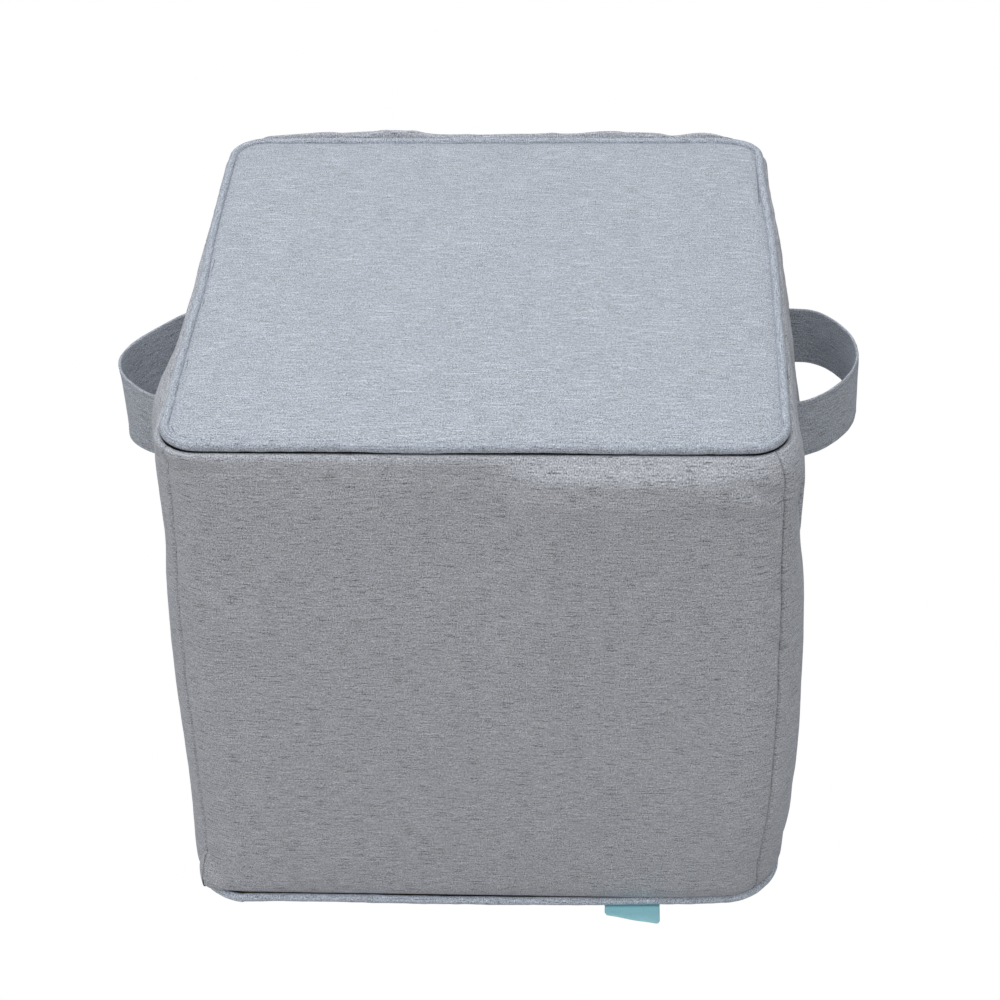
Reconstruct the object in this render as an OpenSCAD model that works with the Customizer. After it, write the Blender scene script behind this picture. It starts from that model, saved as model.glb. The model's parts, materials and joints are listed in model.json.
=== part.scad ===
// Soft-sided storage bin: padded cloth walls on stiff boards, a padded lid that
// swings on its rear seam, a hidden zip round the other three sides, and two
// strap handles sewn into the side walls.
// Millimetres, +Z up, the front faces -Y, origin on the floor under the middle
// of the base.
// Every wall layer runs round the same four corner axes. A layer's "rad" is its
// distance outwards from the rectangle that joins those axes.

/* [Body] */
// Width across the walls, left to right
body_w = 450; // [320:5:700]
// Depth across the walls, front to back
body_d = 450; // [320:5:700]
// Height from the floor to the top of the lid
body_h = 425; // [260:5:700]
// Radius of the upright corners, seen from above
corner_r = 40; // [36:1:70]
// Radius over which the walls turn in under the lid
shoulder_r = 35; // [28:1:40]
// Radius over which the walls turn in at the foot
foot_r = 40; // [25:1:80]
// Height at which the walls start to turn in at the foot
foot_h = 22; // [15:1:40]

/* [Cloth] */
// Thickness of the outer cloth
cloth_t = 1.5; // [0.8:0.1:2.5]
// Thickness of the lining cloth
lining_t = 1; // [0.5:0.1:1.5]
// Space left between neighbouring layers
layer_gap = 0.2; // [0.1:0.05:0.4]

/* [Stiffening] */
// Thickness of the wall boards
board_t = 3; // [2:0.5:5]
// Thickness of the board in the base
base_board_t = 5; // [3:0.5:8]
// Thickness of the foam pad in the lid
lid_foam_t = 20; // [12:1:30]

/* [Piping] */
// Radius of the finished piping
piping_r = 3.25; // [2.5:0.25:4]
// Radius of the cord inside the piping
piping_cord_r = 2.2; // [1.5:0.1:2.4]
// How far the lid piping sits in from the face of the walls
lid_inset = 15; // [13:0.5:18]
// How far the base piping sits in from the face of the walls
base_inset = 3.5; // [2:0.5:6]

/* [Zip] */
// Height of the slot under the lid piping that hides the zip
slot_h = 1.65; // [1.5:0.05:2.5]
// Thickness of the zip tapes
tape_t = 0.8; // [0.5:0.1:1]
// Height of each zip tape
tape_h = 12; // [9:0.5:16]
// Depth of a row of zip teeth, outwards from the tape
teeth_d = 2; // [1.5:0.1:3]
// Height of a row of zip teeth
teeth_h = 2.4; // [1.5:0.1:3]
// Space between the two rows of teeth
teeth_gap = 1; // [0.8:0.1:1.5]
// Length of the slider along the zip
slider_l = 11; // [8:0.5:14]
// Length of the puller from its pin
puller_l = 28; // [18:1:40]

/* [Handles] */
// Width of the strap, which stands upright
strap_w = 50; // [30:1:60]
// Thickness of the strap
strap_t = 2.6; // [2:0.2:4]
// Distance between the two seams that hold a handle
strap_span = 128; // [100:2:180]
// How far a handle stands out from the wall
strap_reach = 52; // [46:1:80]
// Height of the middle of the strap below the top of the lid
strap_drop = 95; // [70:1:140]

/* [Label] */
// Width of the plain cloth label in the base seam
label_w = 44; // [20:1:60]
// How far the label stands out in front of the base piping
label_l = 22; // [12:1:30]
// Distance of the middle of the label from the middle of the front
label_x = 110; // [-150:5:150]

/* [Hidden] */
$fn = 96;

outer_cloth = [0.64, 0.66, 0.69];
lining_cloth = [0.42, 0.43, 0.45];
foam_colour = [0.93, 0.92, 0.86];
board_colour = [0.62, 0.53, 0.42];
zip_colour = [0.45, 0.46, 0.48];
metal_colour = [0.72, 0.72, 0.74];
label_colour = [0.42, 0.74, 0.75];

// Sides of the bin, counted in quarter turns from +X
RIGHT = 0;
BACK = 1;
LEFT = 2;
FRONT = 3;

// The rectangle that joins the corner axes
core = [body_w / 2 - corner_r, body_d / 2 - corner_r];

// Steps used to draw the shoulder and foot curves
arc_steps = 7;
// Half the angle left open where two wall layers meet at a corner, in degrees
mitre_gap = 0.15;
// Half the width left open at each strap seam
seam_gap = 0.1;

shoulder_z = body_h - shoulder_r;
shoulder_rad = corner_r - shoulder_r;

// Lid piping: its centre line lies on the shoulder curve
lid_piping_rad = corner_r - lid_inset;
lid_piping_z = shoulder_z + sqrt(pow(shoulder_r, 2) - pow(lid_piping_rad - shoulder_rad, 2));
rim_z = lid_piping_z - piping_r - slot_h;
// Base piping: clear of the base cloth, which reaches in under it
base_piping_rad = corner_r - base_inset;
base_piping_z = cloth_t + layer_gap + piping_r;
wall_z = base_piping_z + piping_r + layer_gap;

// Layers of the lid, from the top down
lid_foam_z = body_h - cloth_t - layer_gap - lid_foam_t;
lid_board_z = lid_foam_z - layer_gap - board_t;
lid_lining_z = lid_board_z - layer_gap - lining_t;

// Zip, from the mouth outwards: it lies under the inner side of the lid piping
mouth_rad = lid_piping_rad - 9;
slider_plate_t = 1.5;
slider_clear = 0.2;
tape_rad = mouth_rad + slider_clear + slider_plate_t + slider_clear + layer_gap;
teeth_rad = tape_rad + tape_t;
upper_tape_z = shoulder_z + sqrt(pow(shoulder_r - cloth_t, 2) - pow(teeth_rad - shoulder_rad, 2)) - 0.4;
teeth_top_z = upper_tape_z - tape_h + teeth_h;
split_z = upper_tape_z - tape_h;
lower_tape_z = split_z - teeth_gap - tape_h;
zip_end = core[1] - 15;
slider_y = zip_end - 3 - slider_l;
slider_h = 2 * teeth_h + teeth_gap + 4;
slider_front = teeth_rad + teeth_d + slider_clear;

// Puller: swings on a pin that stands on the slider, level with the slot
pin_r = 0.9;
eye_r = 2.6;
puller_t = 1;
puller_z = rim_z + layer_gap;
pin_at = [core[0] + slider_front + slider_plate_t / 2, slider_y + slider_l / 2];

// Layers of the walls, from the inside out
lining_rad = tape_rad + 0.5;
board_rad = lining_rad + lining_t + layer_gap;
foam_rad = board_rad + board_t + layer_gap;
foam_outer = corner_r - cloth_t - 0.3;
// Depth left outside the side foam for the strap tails and patches
tail_space = 2.4;
base_board_top = cloth_t + layer_gap + base_board_t;
lining_z = base_board_top + layer_gap;
lining_top = lower_tape_z - layer_gap;
padding_top = lining_top - 2;
hinge_tape_z = padding_top + layer_gap;
hinge_tape_rad = lining_rad + lining_t + 0.05;
hinge_tape_l = 2 * core[0] - 60;

// Handles
strap_z = body_h - strap_drop;
strap_y = strap_span / 2;
strap_clear = 1;
swing_r = strap_w / 2;
swing_x = body_w / 2 + swing_r + strap_clear;
strap_slot = strap_t + 0.4;
tail_t = 1.2;
tail_l = 26;
tail_x = body_w / 2 - cloth_t - 0.3 - tail_t;
patch_t = 0.8;

// Lid hinge: on the outer side of the rear piping
hinge_off = 4.5;
hinge_y = core[1] + lid_piping_rad + hinge_off;

// ---------------------------------------------------------------- outlines

// Distance of the outer face from the corner axes at height z, less an inset
function face_rad(z, inset) =
    z > shoulder_z
        ? shoulder_rad + sqrt(max(0, pow(shoulder_r - inset, 2) - pow(z - shoulder_z, 2)))
    : z < foot_h
        ? corner_r - foot_r + sqrt(pow(foot_r - inset, 2) - pow(foot_h - z, 2))
        : corner_r - inset;

// Heights at which a wall outline between z0 and z1 needs a point
function wall_heights(z0, z1) = concat(
    z0 < foot_h ? [for (i = [0 : arc_steps - 1]) z0 + (foot_h - z0) * i / arc_steps] : [z0],
    z0 < foot_h ? [foot_h] : [],
    z1 > shoulder_z ? [for (i = [0 : arc_steps]) shoulder_z + (z1 - shoulder_z) * i / arc_steps] : [z1]
);

// Height of the top of the envelope at a distance from the corner axes
function top_z(rad, inset) =
    rad <= shoulder_rad
        ? body_h - inset
        : shoulder_z + sqrt(pow(shoulder_r - inset, 2) - pow(rad - shoulder_rad, 2));

// Section of a wall layer between two insets, in (rad, z)
module wall_section(outset, inset, z0, z1) {
    heights = wall_heights(z0, z1);
    last = len(heights) - 1;
    polygon(concat(
        [for (z = heights) [face_rad(z, outset), z]],
        [for (i = [last : -1 : 0]) [face_rad(heights[i], inset), heights[i]]]
    ));
}

// Section of a layer that follows the wall outside and is flat inside
module padding_section(outset, inner_rad, z0, z1) {
    heights = wall_heights(z0, z1);
    polygon(concat(
        [for (z = heights) [face_rad(z, outset), z]],
        [[inner_rad, z1], [inner_rad, z0]]
    ));
}

// Section of a lid layer: its top follows the lid, its bottom is flat or follows too
module lid_section(outset, rad, bottom_z, thickness = 0) {
    rads = [for (i = [0 : arc_steps]) shoulder_rad + (rad - shoulder_rad) * i / arc_steps];
    polygon(concat(
        [[0, top_z(0, outset)]],
        [for (r = rads) [r, top_z(r, outset)]],
        thickness > 0
            ? concat(
                [for (i = [arc_steps : -1 : 0]) [rads[i], top_z(rads[i], outset + thickness)]],
                [[0, top_z(0, outset + thickness)]])
            : [[rad, bottom_z], [0, bottom_z]]
    ));
}

// ---------------------------------------------------------------- sweeps

function reach_of(side) = side % 2 == 0 ? core[0] : core[1];
function run_of(side) = side % 2 == 0 ? core[1] : core[0];

// Places a piece drawn for the right-hand side on any side
module on_side(side) {
    rotate(90 * side) children();
}

// Extrudes a (rad, z) section along one side, from y0 to y1 in the side's own frame
module along_side(side, y0, y1) {
    on_side(side) translate([reach_of(side), y1, 0]) rotate([90, 0, 0])
        linear_extrude(y1 - y0) children();
}

// Turns a (rad, z) section about a corner axis: end is -1 or 1 along the side
module round_corner(side, end, angle) {
    on_side(side) mirror([0, end < 0 ? 1 : 0, 0]) translate([reach_of(side), run_of(side), 0])
        rotate_extrude(angle = angle) children();
}

// One wall with its half of both corners
module whole_side(side) {
    along_side(side, -run_of(side), run_of(side)) children();
    for (end = [-1, 1]) round_corner(side, end, 45 - mitre_gap) children();
}

// A section carried all the way round, with nothing in the middle
module all_round() {
    for (side = [RIGHT, BACK, LEFT, FRONT]) {
        along_side(side, -run_of(side), run_of(side)) children();
        round_corner(side, 1, 90) children();
    }
}

// A section carried along both sides, from y = end, and across the front
module three_sides(end) {
    along_side(RIGHT, -core[1], end) children();
    along_side(LEFT, -end, core[1]) children();
    along_side(FRONT, -core[0], core[0]) children();
    round_corner(LEFT, 1, 90) children();
    round_corner(FRONT, 1, 90) children();
}

// A flat plate with rounded corners
module plate(rad, z0, z1) {
    translate([0, 0, z0]) linear_extrude(z1 - z0) union() {
        square([2 * (core[0] + rad), 2 * core[1]], center = true);
        square([2 * core[0], 2 * (core[1] + rad)], center = true);
        for (x = [-1, 1], y = [-1, 1]) translate([x * core[0], y * core[1]]) circle(rad);
    }
}

// ---------------------------------------------------------------- walls

module outer_wall(side) {
    color(outer_cloth) whole_side(side) wall_section(0, cloth_t, wall_z, rim_z);
}

// Part of a side wall between two strap seams, with room for the strap ends
module side_strip(side, y0, y1) {
    far = body_w + body_d;
    color(outer_cloth) difference() {
        intersection() {
            whole_side(side) wall_section(0, cloth_t, wall_z, rim_z);
            on_side(side) translate([0, y0, 0]) cube([far, y1 - y0, body_h]);
        }
        for (y = [-strap_y, strap_y])
            on_side(side) translate([reach_of(side), y - strap_slot / 2, strap_z - strap_w / 2 - 0.3])
                cube([2 * corner_r, strap_slot, strap_w + 0.6]);
    }
}

module end_strip(side, end) {
    side_strip(side, end > 0 ? strap_y + seam_gap : -body_d, end > 0 ? body_d : -strap_y - seam_gap);
}

module centre_strip(side) {
    side_strip(side, -strap_y + seam_gap, strap_y - seam_gap);
}

module wall_foam(side) {
    spare = side % 2 == 0 ? tail_space : 0;
    outset = corner_r - foam_outer + spare;
    color(foam_colour) whole_side(side)
        padding_section(outset, foam_rad, wall_z + layer_gap, padding_top);
}

// Boards are flat, so they stop where the foam starts to curve inwards
module wall_board(side) {
    end = run_of(side) + sqrt(pow(foam_rad, 2) - pow(board_rad + board_t, 2)) - layer_gap;
    color(board_colour) along_side(side, -end, end)
        translate([board_rad, lining_z]) square([board_t, padding_top - lining_z]);
}

module wall_lining(side) {
    color(lining_cloth) whole_side(side)
        translate([lining_rad, lining_z]) square([lining_t, lining_top - lining_z]);
}

// ---------------------------------------------------------------- base

module base_panel() {
    color(outer_cloth) plate(base_piping_rad, 0, cloth_t);
}

module base_board() {
    color(board_colour) plate(base_piping_rad - piping_r - 1.5, cloth_t + layer_gap, base_board_top);
}

module base_lining() {
    color(lining_cloth) plate(lining_rad - layer_gap / 2, lining_z, lining_z + lining_t);
}

module piping(rad, z) {
    color(outer_cloth) all_round() translate([rad, z]) difference() {
        circle(piping_r, $fn = 48);
        circle(piping_cord_r + 0.05, $fn = 48);
    }
}

module piping_cord(rad, z) {
    color("white") all_round() translate([rad, z]) circle(piping_cord_r, $fn = 48);
}

// A plain folded label, sewn in a little askew so one end shows more than the other
module seam_label() {
    edge = -(core[1] + base_piping_rad + layer_gap);
    front = -(core[1] + base_piping_rad + piping_r);
    round_r = 3;
    color(label_colour) translate([label_x, 0, 0.1]) linear_extrude(0.9) union() {
        polygon([
            [-label_w / 2, edge], [-label_w / 2, front - label_l / 2 + round_r],
            [-label_w / 2 + round_r, front - label_l / 2],
            [label_w / 2 - round_r, front - label_l], [label_w / 2, front - label_l + round_r],
            [label_w / 2, edge]
        ]);
        translate([-label_w / 2 + round_r, front - label_l / 2 + round_r]) circle(round_r);
        translate([label_w / 2 - round_r, front - label_l + round_r]) circle(round_r);
    }
}

// ---------------------------------------------------------------- lid

module lid_panel() {
    rad = lid_piping_rad - piping_r - layer_gap;
    color(outer_cloth) {
        all_round() lid_section(0, rad, 0, cloth_t);
        translate([-core[0], -core[1], body_h - cloth_t]) cube([2 * core[0], 2 * core[1], cloth_t]);
    }
}

module lid_foam() {
    color(foam_colour) {
        all_round() lid_section(cloth_t + layer_gap, mouth_rad - layer_gap, lid_foam_z);
        translate([-core[0], -core[1], lid_foam_z]) cube([2 * core[0], 2 * core[1], lid_foam_t]);
    }
}

module lid_board() {
    color(board_colour) plate(mouth_rad - 1, lid_board_z, lid_board_z + board_t);
}

module lid_lining() {
    color(lining_cloth) plate(mouth_rad - layer_gap, lid_lining_z, lid_lining_z + lining_t);
}

// ---------------------------------------------------------------- zip

module zip_tape(z) {
    color(zip_colour) three_sides(zip_end + 5) translate([tape_rad, z]) square([tape_t, tape_h]);
}

module zip_teeth(z) {
    color(zip_colour) three_sides(zip_end) translate([teeth_rad, z]) square([teeth_d, teeth_h]);
}

module zip_stops() {
    color(metal_colour) for (side = [LEFT, RIGHT])
        mirror([side == LEFT ? 1 : 0, 0, 0])
            translate([core[0] + teeth_rad, zip_end, split_z - teeth_gap - teeth_h])
                cube([teeth_d + 0.4, 3, teeth_h]);
}

module zip_slider() {
    bottom = split_z - teeth_gap / 2 - slider_h / 2;
    color(metal_colour) {
        translate([core[0] + slider_front, slider_y, bottom]) cube([slider_plate_t, slider_l, slider_h]);
        translate([core[0] + mouth_rad + slider_clear, slider_y, bottom])
            cube([slider_plate_t, slider_l, slider_h]);
        translate([core[0] + mouth_rad + slider_clear, slider_y + 1, split_z - teeth_gap + slider_clear])
            cube([slider_front - mouth_rad, slider_l - 2, teeth_gap - 2 * slider_clear]);
        translate([pin_at[0], pin_at[1], bottom + slider_h - 1])
            cylinder(r = pin_r, h = puller_z + puller_t + 0.2 - bottom - slider_h + 1);
        translate([pin_at[0], pin_at[1], bottom + slider_h - 0.5])
            cylinder(r = eye_r - 0.6, h = puller_z - layer_gap - bottom - slider_h + 0.5);
    }
}

module zip_puller() {
    color(metal_colour) translate([pin_at[0], pin_at[1], puller_z]) linear_extrude(puller_t) difference() {
        union() {
            circle(eye_r);
            translate([-eye_r + 0.4, 0]) square([2 * eye_r - 0.8, puller_l - eye_r]);
            translate([0, puller_l - eye_r]) circle(eye_r - 0.4);
        }
        circle(pin_r + 0.06);
    }
}

// ---------------------------------------------------------------- hinge tapes

module hinge_tape() {
    color(lining_cloth) along_side(BACK, -hinge_tape_l / 2, hinge_tape_l / 2)
        translate([hinge_tape_rad, hinge_tape_z]) square([tape_t, rim_z - 2 - hinge_tape_z]);
}

module lid_hinge_tape() {
    color(lining_cloth) along_side(BACK, -hinge_tape_l / 2, hinge_tape_l / 2)
        translate([tape_rad, lid_board_z + 4]) square([tape_t, upper_tape_z - lid_board_z - 4]);
}

// ---------------------------------------------------------------- handles

// Plan of one strap: half an ellipse from seam to seam
module strap_plan(side) {
    steps = 28;
    span = strap_y;
    reach = strap_reach;
    outer = [for (i = [0 : steps]) let (a = -90 + 180 * i / steps)
        [body_w / 2 + reach * cos(a), (span + strap_t / 2) * sin(a)]];
    inner = [for (i = [steps : -1 : 0]) let (a = -90 + 180 * i / steps)
        [body_w / 2 + (reach - strap_t) * cos(a), (span - strap_t / 2) * sin(a)]];
    polygon(concat(outer, inner));
}

module strap_solid() {
    translate([0, 0, strap_z - strap_w / 2]) linear_extrude(strap_w) strap_plan();
}

// Everything that swings: the loop beyond the swing axis and the round of cloth about it
module swing_zone(extra) {
    translate([swing_x, -strap_span, strap_z - body_h]) cube([strap_span, 2 * strap_span, 2 * body_h]);
    translate([swing_x, strap_span, strap_z]) rotate([90, 0, 0])
        cylinder(r = swing_r + extra, h = 2 * strap_span);
}

module handle(side) {
    color(outer_cloth) mirror([side == LEFT ? 1 : 0, 0, 0]) intersection() {
        strap_solid();
        swing_zone(0);
    }
}

// The sewn end of a strap: the cloth that stands still, and the tail inside the wall
module handle_end(side, end) {
    color(outer_cloth) mirror([side == LEFT ? 1 : 0, 0, 0]) {
        difference() {
            intersection() {
                strap_solid();
                translate([0, end * strap_y - strap_y / 2, 0]) cube([body_w, strap_y, body_h]);
            }
            swing_zone(0.4);
        }
        translate([tail_x, end * strap_y - strap_t / 2, strap_z - strap_w / 2])
            cube([body_w / 2 + 0.4 - tail_x, strap_t, strap_w]);
        translate([tail_x, end * strap_y - (end > 0 ? 0 : tail_l), strap_z - strap_w / 2])
            cube([tail_t, tail_l, strap_w]);
    }
}

module handle_patches(side) {
    patch = [2 * tail_l, strap_w + 16];
    x = tail_x - 0.05 - patch_t;
    color("white") mirror([side == LEFT ? 1 : 0, 0, 0]) for (y = [-strap_y, strap_y])
        translate([x, y - patch[0] / 2, strap_z - patch[1] / 2]) cube([patch_t, patch[0], patch[1]]);
}

// ---------------------------------------------------------------- nodes

outer_wall(FRONT);  // front_panel
outer_wall(BACK);  // back_panel
end_strip(LEFT, 1);  // left_front_strip
centre_strip(LEFT);  // left_centre_strip
end_strip(LEFT, -1);  // left_rear_strip
end_strip(RIGHT, -1);  // right_front_strip
centre_strip(RIGHT);  // right_centre_strip
end_strip(RIGHT, 1);  // right_rear_strip
base_panel();
piping(base_piping_rad, base_piping_z);  // base_piping
piping_cord(base_piping_rad, base_piping_z);  // base_piping_cord
seam_label();
wall_foam(FRONT);  // front_foam
wall_foam(BACK);  // back_foam
wall_foam(LEFT);  // left_foam
wall_foam(RIGHT);  // right_foam
wall_board(FRONT);  // front_board
wall_board(BACK);  // back_board
wall_board(LEFT);  // left_board
wall_board(RIGHT);  // right_board
base_board();
wall_lining(FRONT);  // front_lining
wall_lining(BACK);  // back_lining
wall_lining(LEFT);  // left_lining
wall_lining(RIGHT);  // right_lining
base_lining();
zip_tape(lower_tape_z);  // lower_zip_tape
zip_teeth(split_z - teeth_gap - teeth_h);  // lower_zip_teeth
zip_stops();
hinge_tape();
handle_end(LEFT, -1);  // left_handle_front_end
handle_end(LEFT, 1);  // left_handle_rear_end
handle_end(RIGHT, -1);  // right_handle_front_end
handle_end(RIGHT, 1);  // right_handle_rear_end
handle_patches(LEFT);  // left_handle_patches
handle_patches(RIGHT);  // right_handle_patches
lid_panel();
piping(lid_piping_rad, lid_piping_z);  // lid_piping
piping_cord(lid_piping_rad, lid_piping_z);  // lid_piping_cord
lid_foam();
lid_board();
lid_lining();
zip_tape(split_z);  // upper_zip_tape
zip_teeth(split_z);  // upper_zip_teeth
lid_hinge_tape();
handle(LEFT);  // left_handle
handle(RIGHT);  // right_handle
zip_slider();
zip_puller();
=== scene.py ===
import json
import math

import bmesh
import bpy
import numpy as np
from mathutils import Matrix, Vector
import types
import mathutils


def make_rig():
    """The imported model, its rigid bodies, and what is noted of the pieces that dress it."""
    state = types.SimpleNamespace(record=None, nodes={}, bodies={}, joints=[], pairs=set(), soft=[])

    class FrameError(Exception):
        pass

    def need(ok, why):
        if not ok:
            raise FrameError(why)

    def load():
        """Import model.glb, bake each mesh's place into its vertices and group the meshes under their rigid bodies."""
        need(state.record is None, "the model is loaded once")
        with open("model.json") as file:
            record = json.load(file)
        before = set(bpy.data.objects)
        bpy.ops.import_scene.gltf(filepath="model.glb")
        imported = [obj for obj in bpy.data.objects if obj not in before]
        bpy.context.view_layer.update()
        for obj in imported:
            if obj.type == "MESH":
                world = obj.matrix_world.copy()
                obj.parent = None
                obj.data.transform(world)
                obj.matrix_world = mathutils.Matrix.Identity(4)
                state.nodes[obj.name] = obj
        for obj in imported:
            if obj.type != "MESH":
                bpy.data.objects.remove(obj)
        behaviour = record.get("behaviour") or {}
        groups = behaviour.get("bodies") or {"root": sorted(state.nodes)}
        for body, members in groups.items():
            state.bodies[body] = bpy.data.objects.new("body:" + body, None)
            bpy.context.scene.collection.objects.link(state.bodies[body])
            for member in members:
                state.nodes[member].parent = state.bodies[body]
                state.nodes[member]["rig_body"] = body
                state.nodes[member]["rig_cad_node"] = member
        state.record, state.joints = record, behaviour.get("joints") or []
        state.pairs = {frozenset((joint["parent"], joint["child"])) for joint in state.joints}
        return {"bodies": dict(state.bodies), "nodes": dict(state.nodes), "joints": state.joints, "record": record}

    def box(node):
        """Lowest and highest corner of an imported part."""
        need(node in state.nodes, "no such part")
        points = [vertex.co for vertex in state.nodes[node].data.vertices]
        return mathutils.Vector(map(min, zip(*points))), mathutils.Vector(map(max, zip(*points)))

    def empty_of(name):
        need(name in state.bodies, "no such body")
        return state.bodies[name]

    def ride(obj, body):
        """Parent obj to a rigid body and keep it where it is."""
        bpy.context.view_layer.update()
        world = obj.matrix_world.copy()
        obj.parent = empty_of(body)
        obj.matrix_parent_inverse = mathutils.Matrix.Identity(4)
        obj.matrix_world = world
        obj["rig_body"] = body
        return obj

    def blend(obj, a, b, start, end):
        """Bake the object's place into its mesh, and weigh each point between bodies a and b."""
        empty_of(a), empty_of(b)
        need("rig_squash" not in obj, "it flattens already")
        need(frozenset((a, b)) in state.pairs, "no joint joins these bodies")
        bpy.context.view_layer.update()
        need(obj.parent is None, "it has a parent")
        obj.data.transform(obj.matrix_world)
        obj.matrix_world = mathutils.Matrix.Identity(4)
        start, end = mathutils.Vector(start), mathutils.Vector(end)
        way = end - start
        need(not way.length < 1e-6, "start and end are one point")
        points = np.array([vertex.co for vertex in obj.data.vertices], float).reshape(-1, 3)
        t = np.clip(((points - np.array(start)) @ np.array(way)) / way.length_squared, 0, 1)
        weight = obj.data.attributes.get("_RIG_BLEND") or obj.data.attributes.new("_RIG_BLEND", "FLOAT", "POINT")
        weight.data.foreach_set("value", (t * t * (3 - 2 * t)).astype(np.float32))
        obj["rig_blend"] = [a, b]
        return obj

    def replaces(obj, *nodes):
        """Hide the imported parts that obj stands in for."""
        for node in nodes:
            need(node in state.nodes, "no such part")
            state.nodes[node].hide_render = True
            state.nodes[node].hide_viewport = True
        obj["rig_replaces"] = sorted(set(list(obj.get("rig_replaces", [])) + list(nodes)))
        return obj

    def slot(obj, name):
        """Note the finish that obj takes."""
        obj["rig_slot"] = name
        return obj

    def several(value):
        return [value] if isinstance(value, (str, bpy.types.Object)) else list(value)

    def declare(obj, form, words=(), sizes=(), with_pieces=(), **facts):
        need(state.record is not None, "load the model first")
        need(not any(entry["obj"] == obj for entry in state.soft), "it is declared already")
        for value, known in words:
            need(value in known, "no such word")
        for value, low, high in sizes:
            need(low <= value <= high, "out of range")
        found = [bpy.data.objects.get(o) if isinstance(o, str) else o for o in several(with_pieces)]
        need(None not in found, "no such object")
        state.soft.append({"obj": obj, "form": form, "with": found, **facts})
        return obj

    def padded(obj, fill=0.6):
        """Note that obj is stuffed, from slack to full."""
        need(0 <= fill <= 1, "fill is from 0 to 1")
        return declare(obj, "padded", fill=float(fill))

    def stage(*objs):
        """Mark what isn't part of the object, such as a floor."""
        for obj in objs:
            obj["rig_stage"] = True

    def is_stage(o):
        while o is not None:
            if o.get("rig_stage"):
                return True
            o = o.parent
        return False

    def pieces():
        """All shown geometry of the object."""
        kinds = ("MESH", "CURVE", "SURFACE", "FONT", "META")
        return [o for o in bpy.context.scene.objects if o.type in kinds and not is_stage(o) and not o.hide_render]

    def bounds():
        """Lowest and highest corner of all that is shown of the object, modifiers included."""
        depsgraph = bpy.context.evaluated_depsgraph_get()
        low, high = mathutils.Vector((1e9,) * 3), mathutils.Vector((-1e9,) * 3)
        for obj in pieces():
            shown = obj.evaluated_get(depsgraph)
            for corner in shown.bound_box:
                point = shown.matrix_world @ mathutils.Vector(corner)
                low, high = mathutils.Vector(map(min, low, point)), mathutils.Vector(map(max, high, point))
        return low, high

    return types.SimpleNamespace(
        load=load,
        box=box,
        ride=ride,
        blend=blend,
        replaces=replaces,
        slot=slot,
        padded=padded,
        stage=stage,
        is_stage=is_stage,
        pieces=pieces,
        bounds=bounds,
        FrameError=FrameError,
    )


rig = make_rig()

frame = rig.load()
SIZE_FILE = "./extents.json"
low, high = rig.bounds()
with open(SIZE_FILE, "w") as f:
    json.dump({"cad": [list(low), list(high)]}, f)

# ------------------------------------------------------------ sizes from CAD

MM = 0.001
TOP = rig.box("lid_panel")[1].z
LID_PIPE_LO, LID_PIPE_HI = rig.box("lid_piping")
BASE_PIPE_LO, BASE_PIPE_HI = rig.box("base_piping")
PIPE_R = (LID_PIPE_HI.z - LID_PIPE_LO.z) / 2
LID_PIPE_Z = (LID_PIPE_HI.z + LID_PIPE_LO.z) / 2
BASE_PIPE_Z = (BASE_PIPE_HI.z + BASE_PIPE_LO.z) / 2
WALL_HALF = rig.box("back_panel")[1].y
CORNER_R = 0.040
CORE = WALL_HALF - CORNER_R
LID_PIPE_RAD = LID_PIPE_HI.x - PIPE_R - CORE
BASE_PIPE_RAD = BASE_PIPE_HI.x - PIPE_R - CORE
RIM_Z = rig.box("front_panel")[1].z
LINING_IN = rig.box("right_lining")[1].x - CORE - 0.001
LINING_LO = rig.box("right_lining")[0].z
LINING_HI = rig.box("right_lining")[1].z
STRAP_Z = (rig.box("right_handle")[0].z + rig.box("right_handle")[1].z) / 2
STRAP_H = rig.box("right_handle")[1].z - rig.box("right_handle")[0].z
STRAP_Y = 0.064
SEAM_ARC = CORNER_R * math.pi / 4
PANEL_END = CORE + SEAM_ARC
FRONT, RIGHT, BACK, LEFT = 0, 1, 2, 3
SIDES = ((FRONT, "front"), (RIGHT, "right"), (BACK, "back"), (LEFT, "left"))

# ------------------------------------------------------------ sizes chosen here

WEAVE_PITCH = 0.00062       # two yarns of the slub cloth
TURN_IN_RAD = 0.0302        # where a wall's cloth turns in over the rim
SEAM_TUCK, SEAM_TUCK_WIDTH = 0.0024, 0.0030
PAD_BACK_RAD = 0.0231       # the flat backs of the wall pads
PIPE_STEP, PLATE_STEP = 0.0022, 0.0045
PLATE_UV = (0.5, 3.1)       # plates take another part of the cloth's pattern than walls
STRAP_HALF_T = 0.00105
STITCH_IN, STITCH_PITCH = 0.0035, 0.0034
TAPE_HALF_T = 0.00028
TOOTH_HALF = 0.00078
SEAM_STEP = 0.0005

# ------------------------------------------------------------ small tools


def smooth(t):
    t = np.clip(t, 0.0, 1.0)
    return t * t * (3 - 2 * t)


def bump_at(x, centre, width):
    return np.exp(-(((x - centre) / width) ** 2))


def curve_through(x, xs, ys):
    """A smooth curve through a few points, level at its ends."""
    xs, ys = np.asarray(xs, float), np.asarray(ys, float)
    slope = np.zeros_like(ys)
    slope[1:-1] = (ys[2:] - ys[:-2]) / (xs[2:] - xs[:-2])
    x = np.clip(x, xs[0], xs[-1])
    i = np.clip(np.searchsorted(xs, x) - 1, 0, len(xs) - 2)
    h = xs[i + 1] - xs[i]
    t = (x - xs[i]) / h
    return ((2 * t**3 - 3 * t**2 + 1) * ys[i] + (t**3 - 2 * t**2 + t) * h * slope[i]
            + (3 * t**2 - 2 * t**3) * ys[i + 1] + (t**3 - t**2) * h * slope[i + 1])


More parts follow.
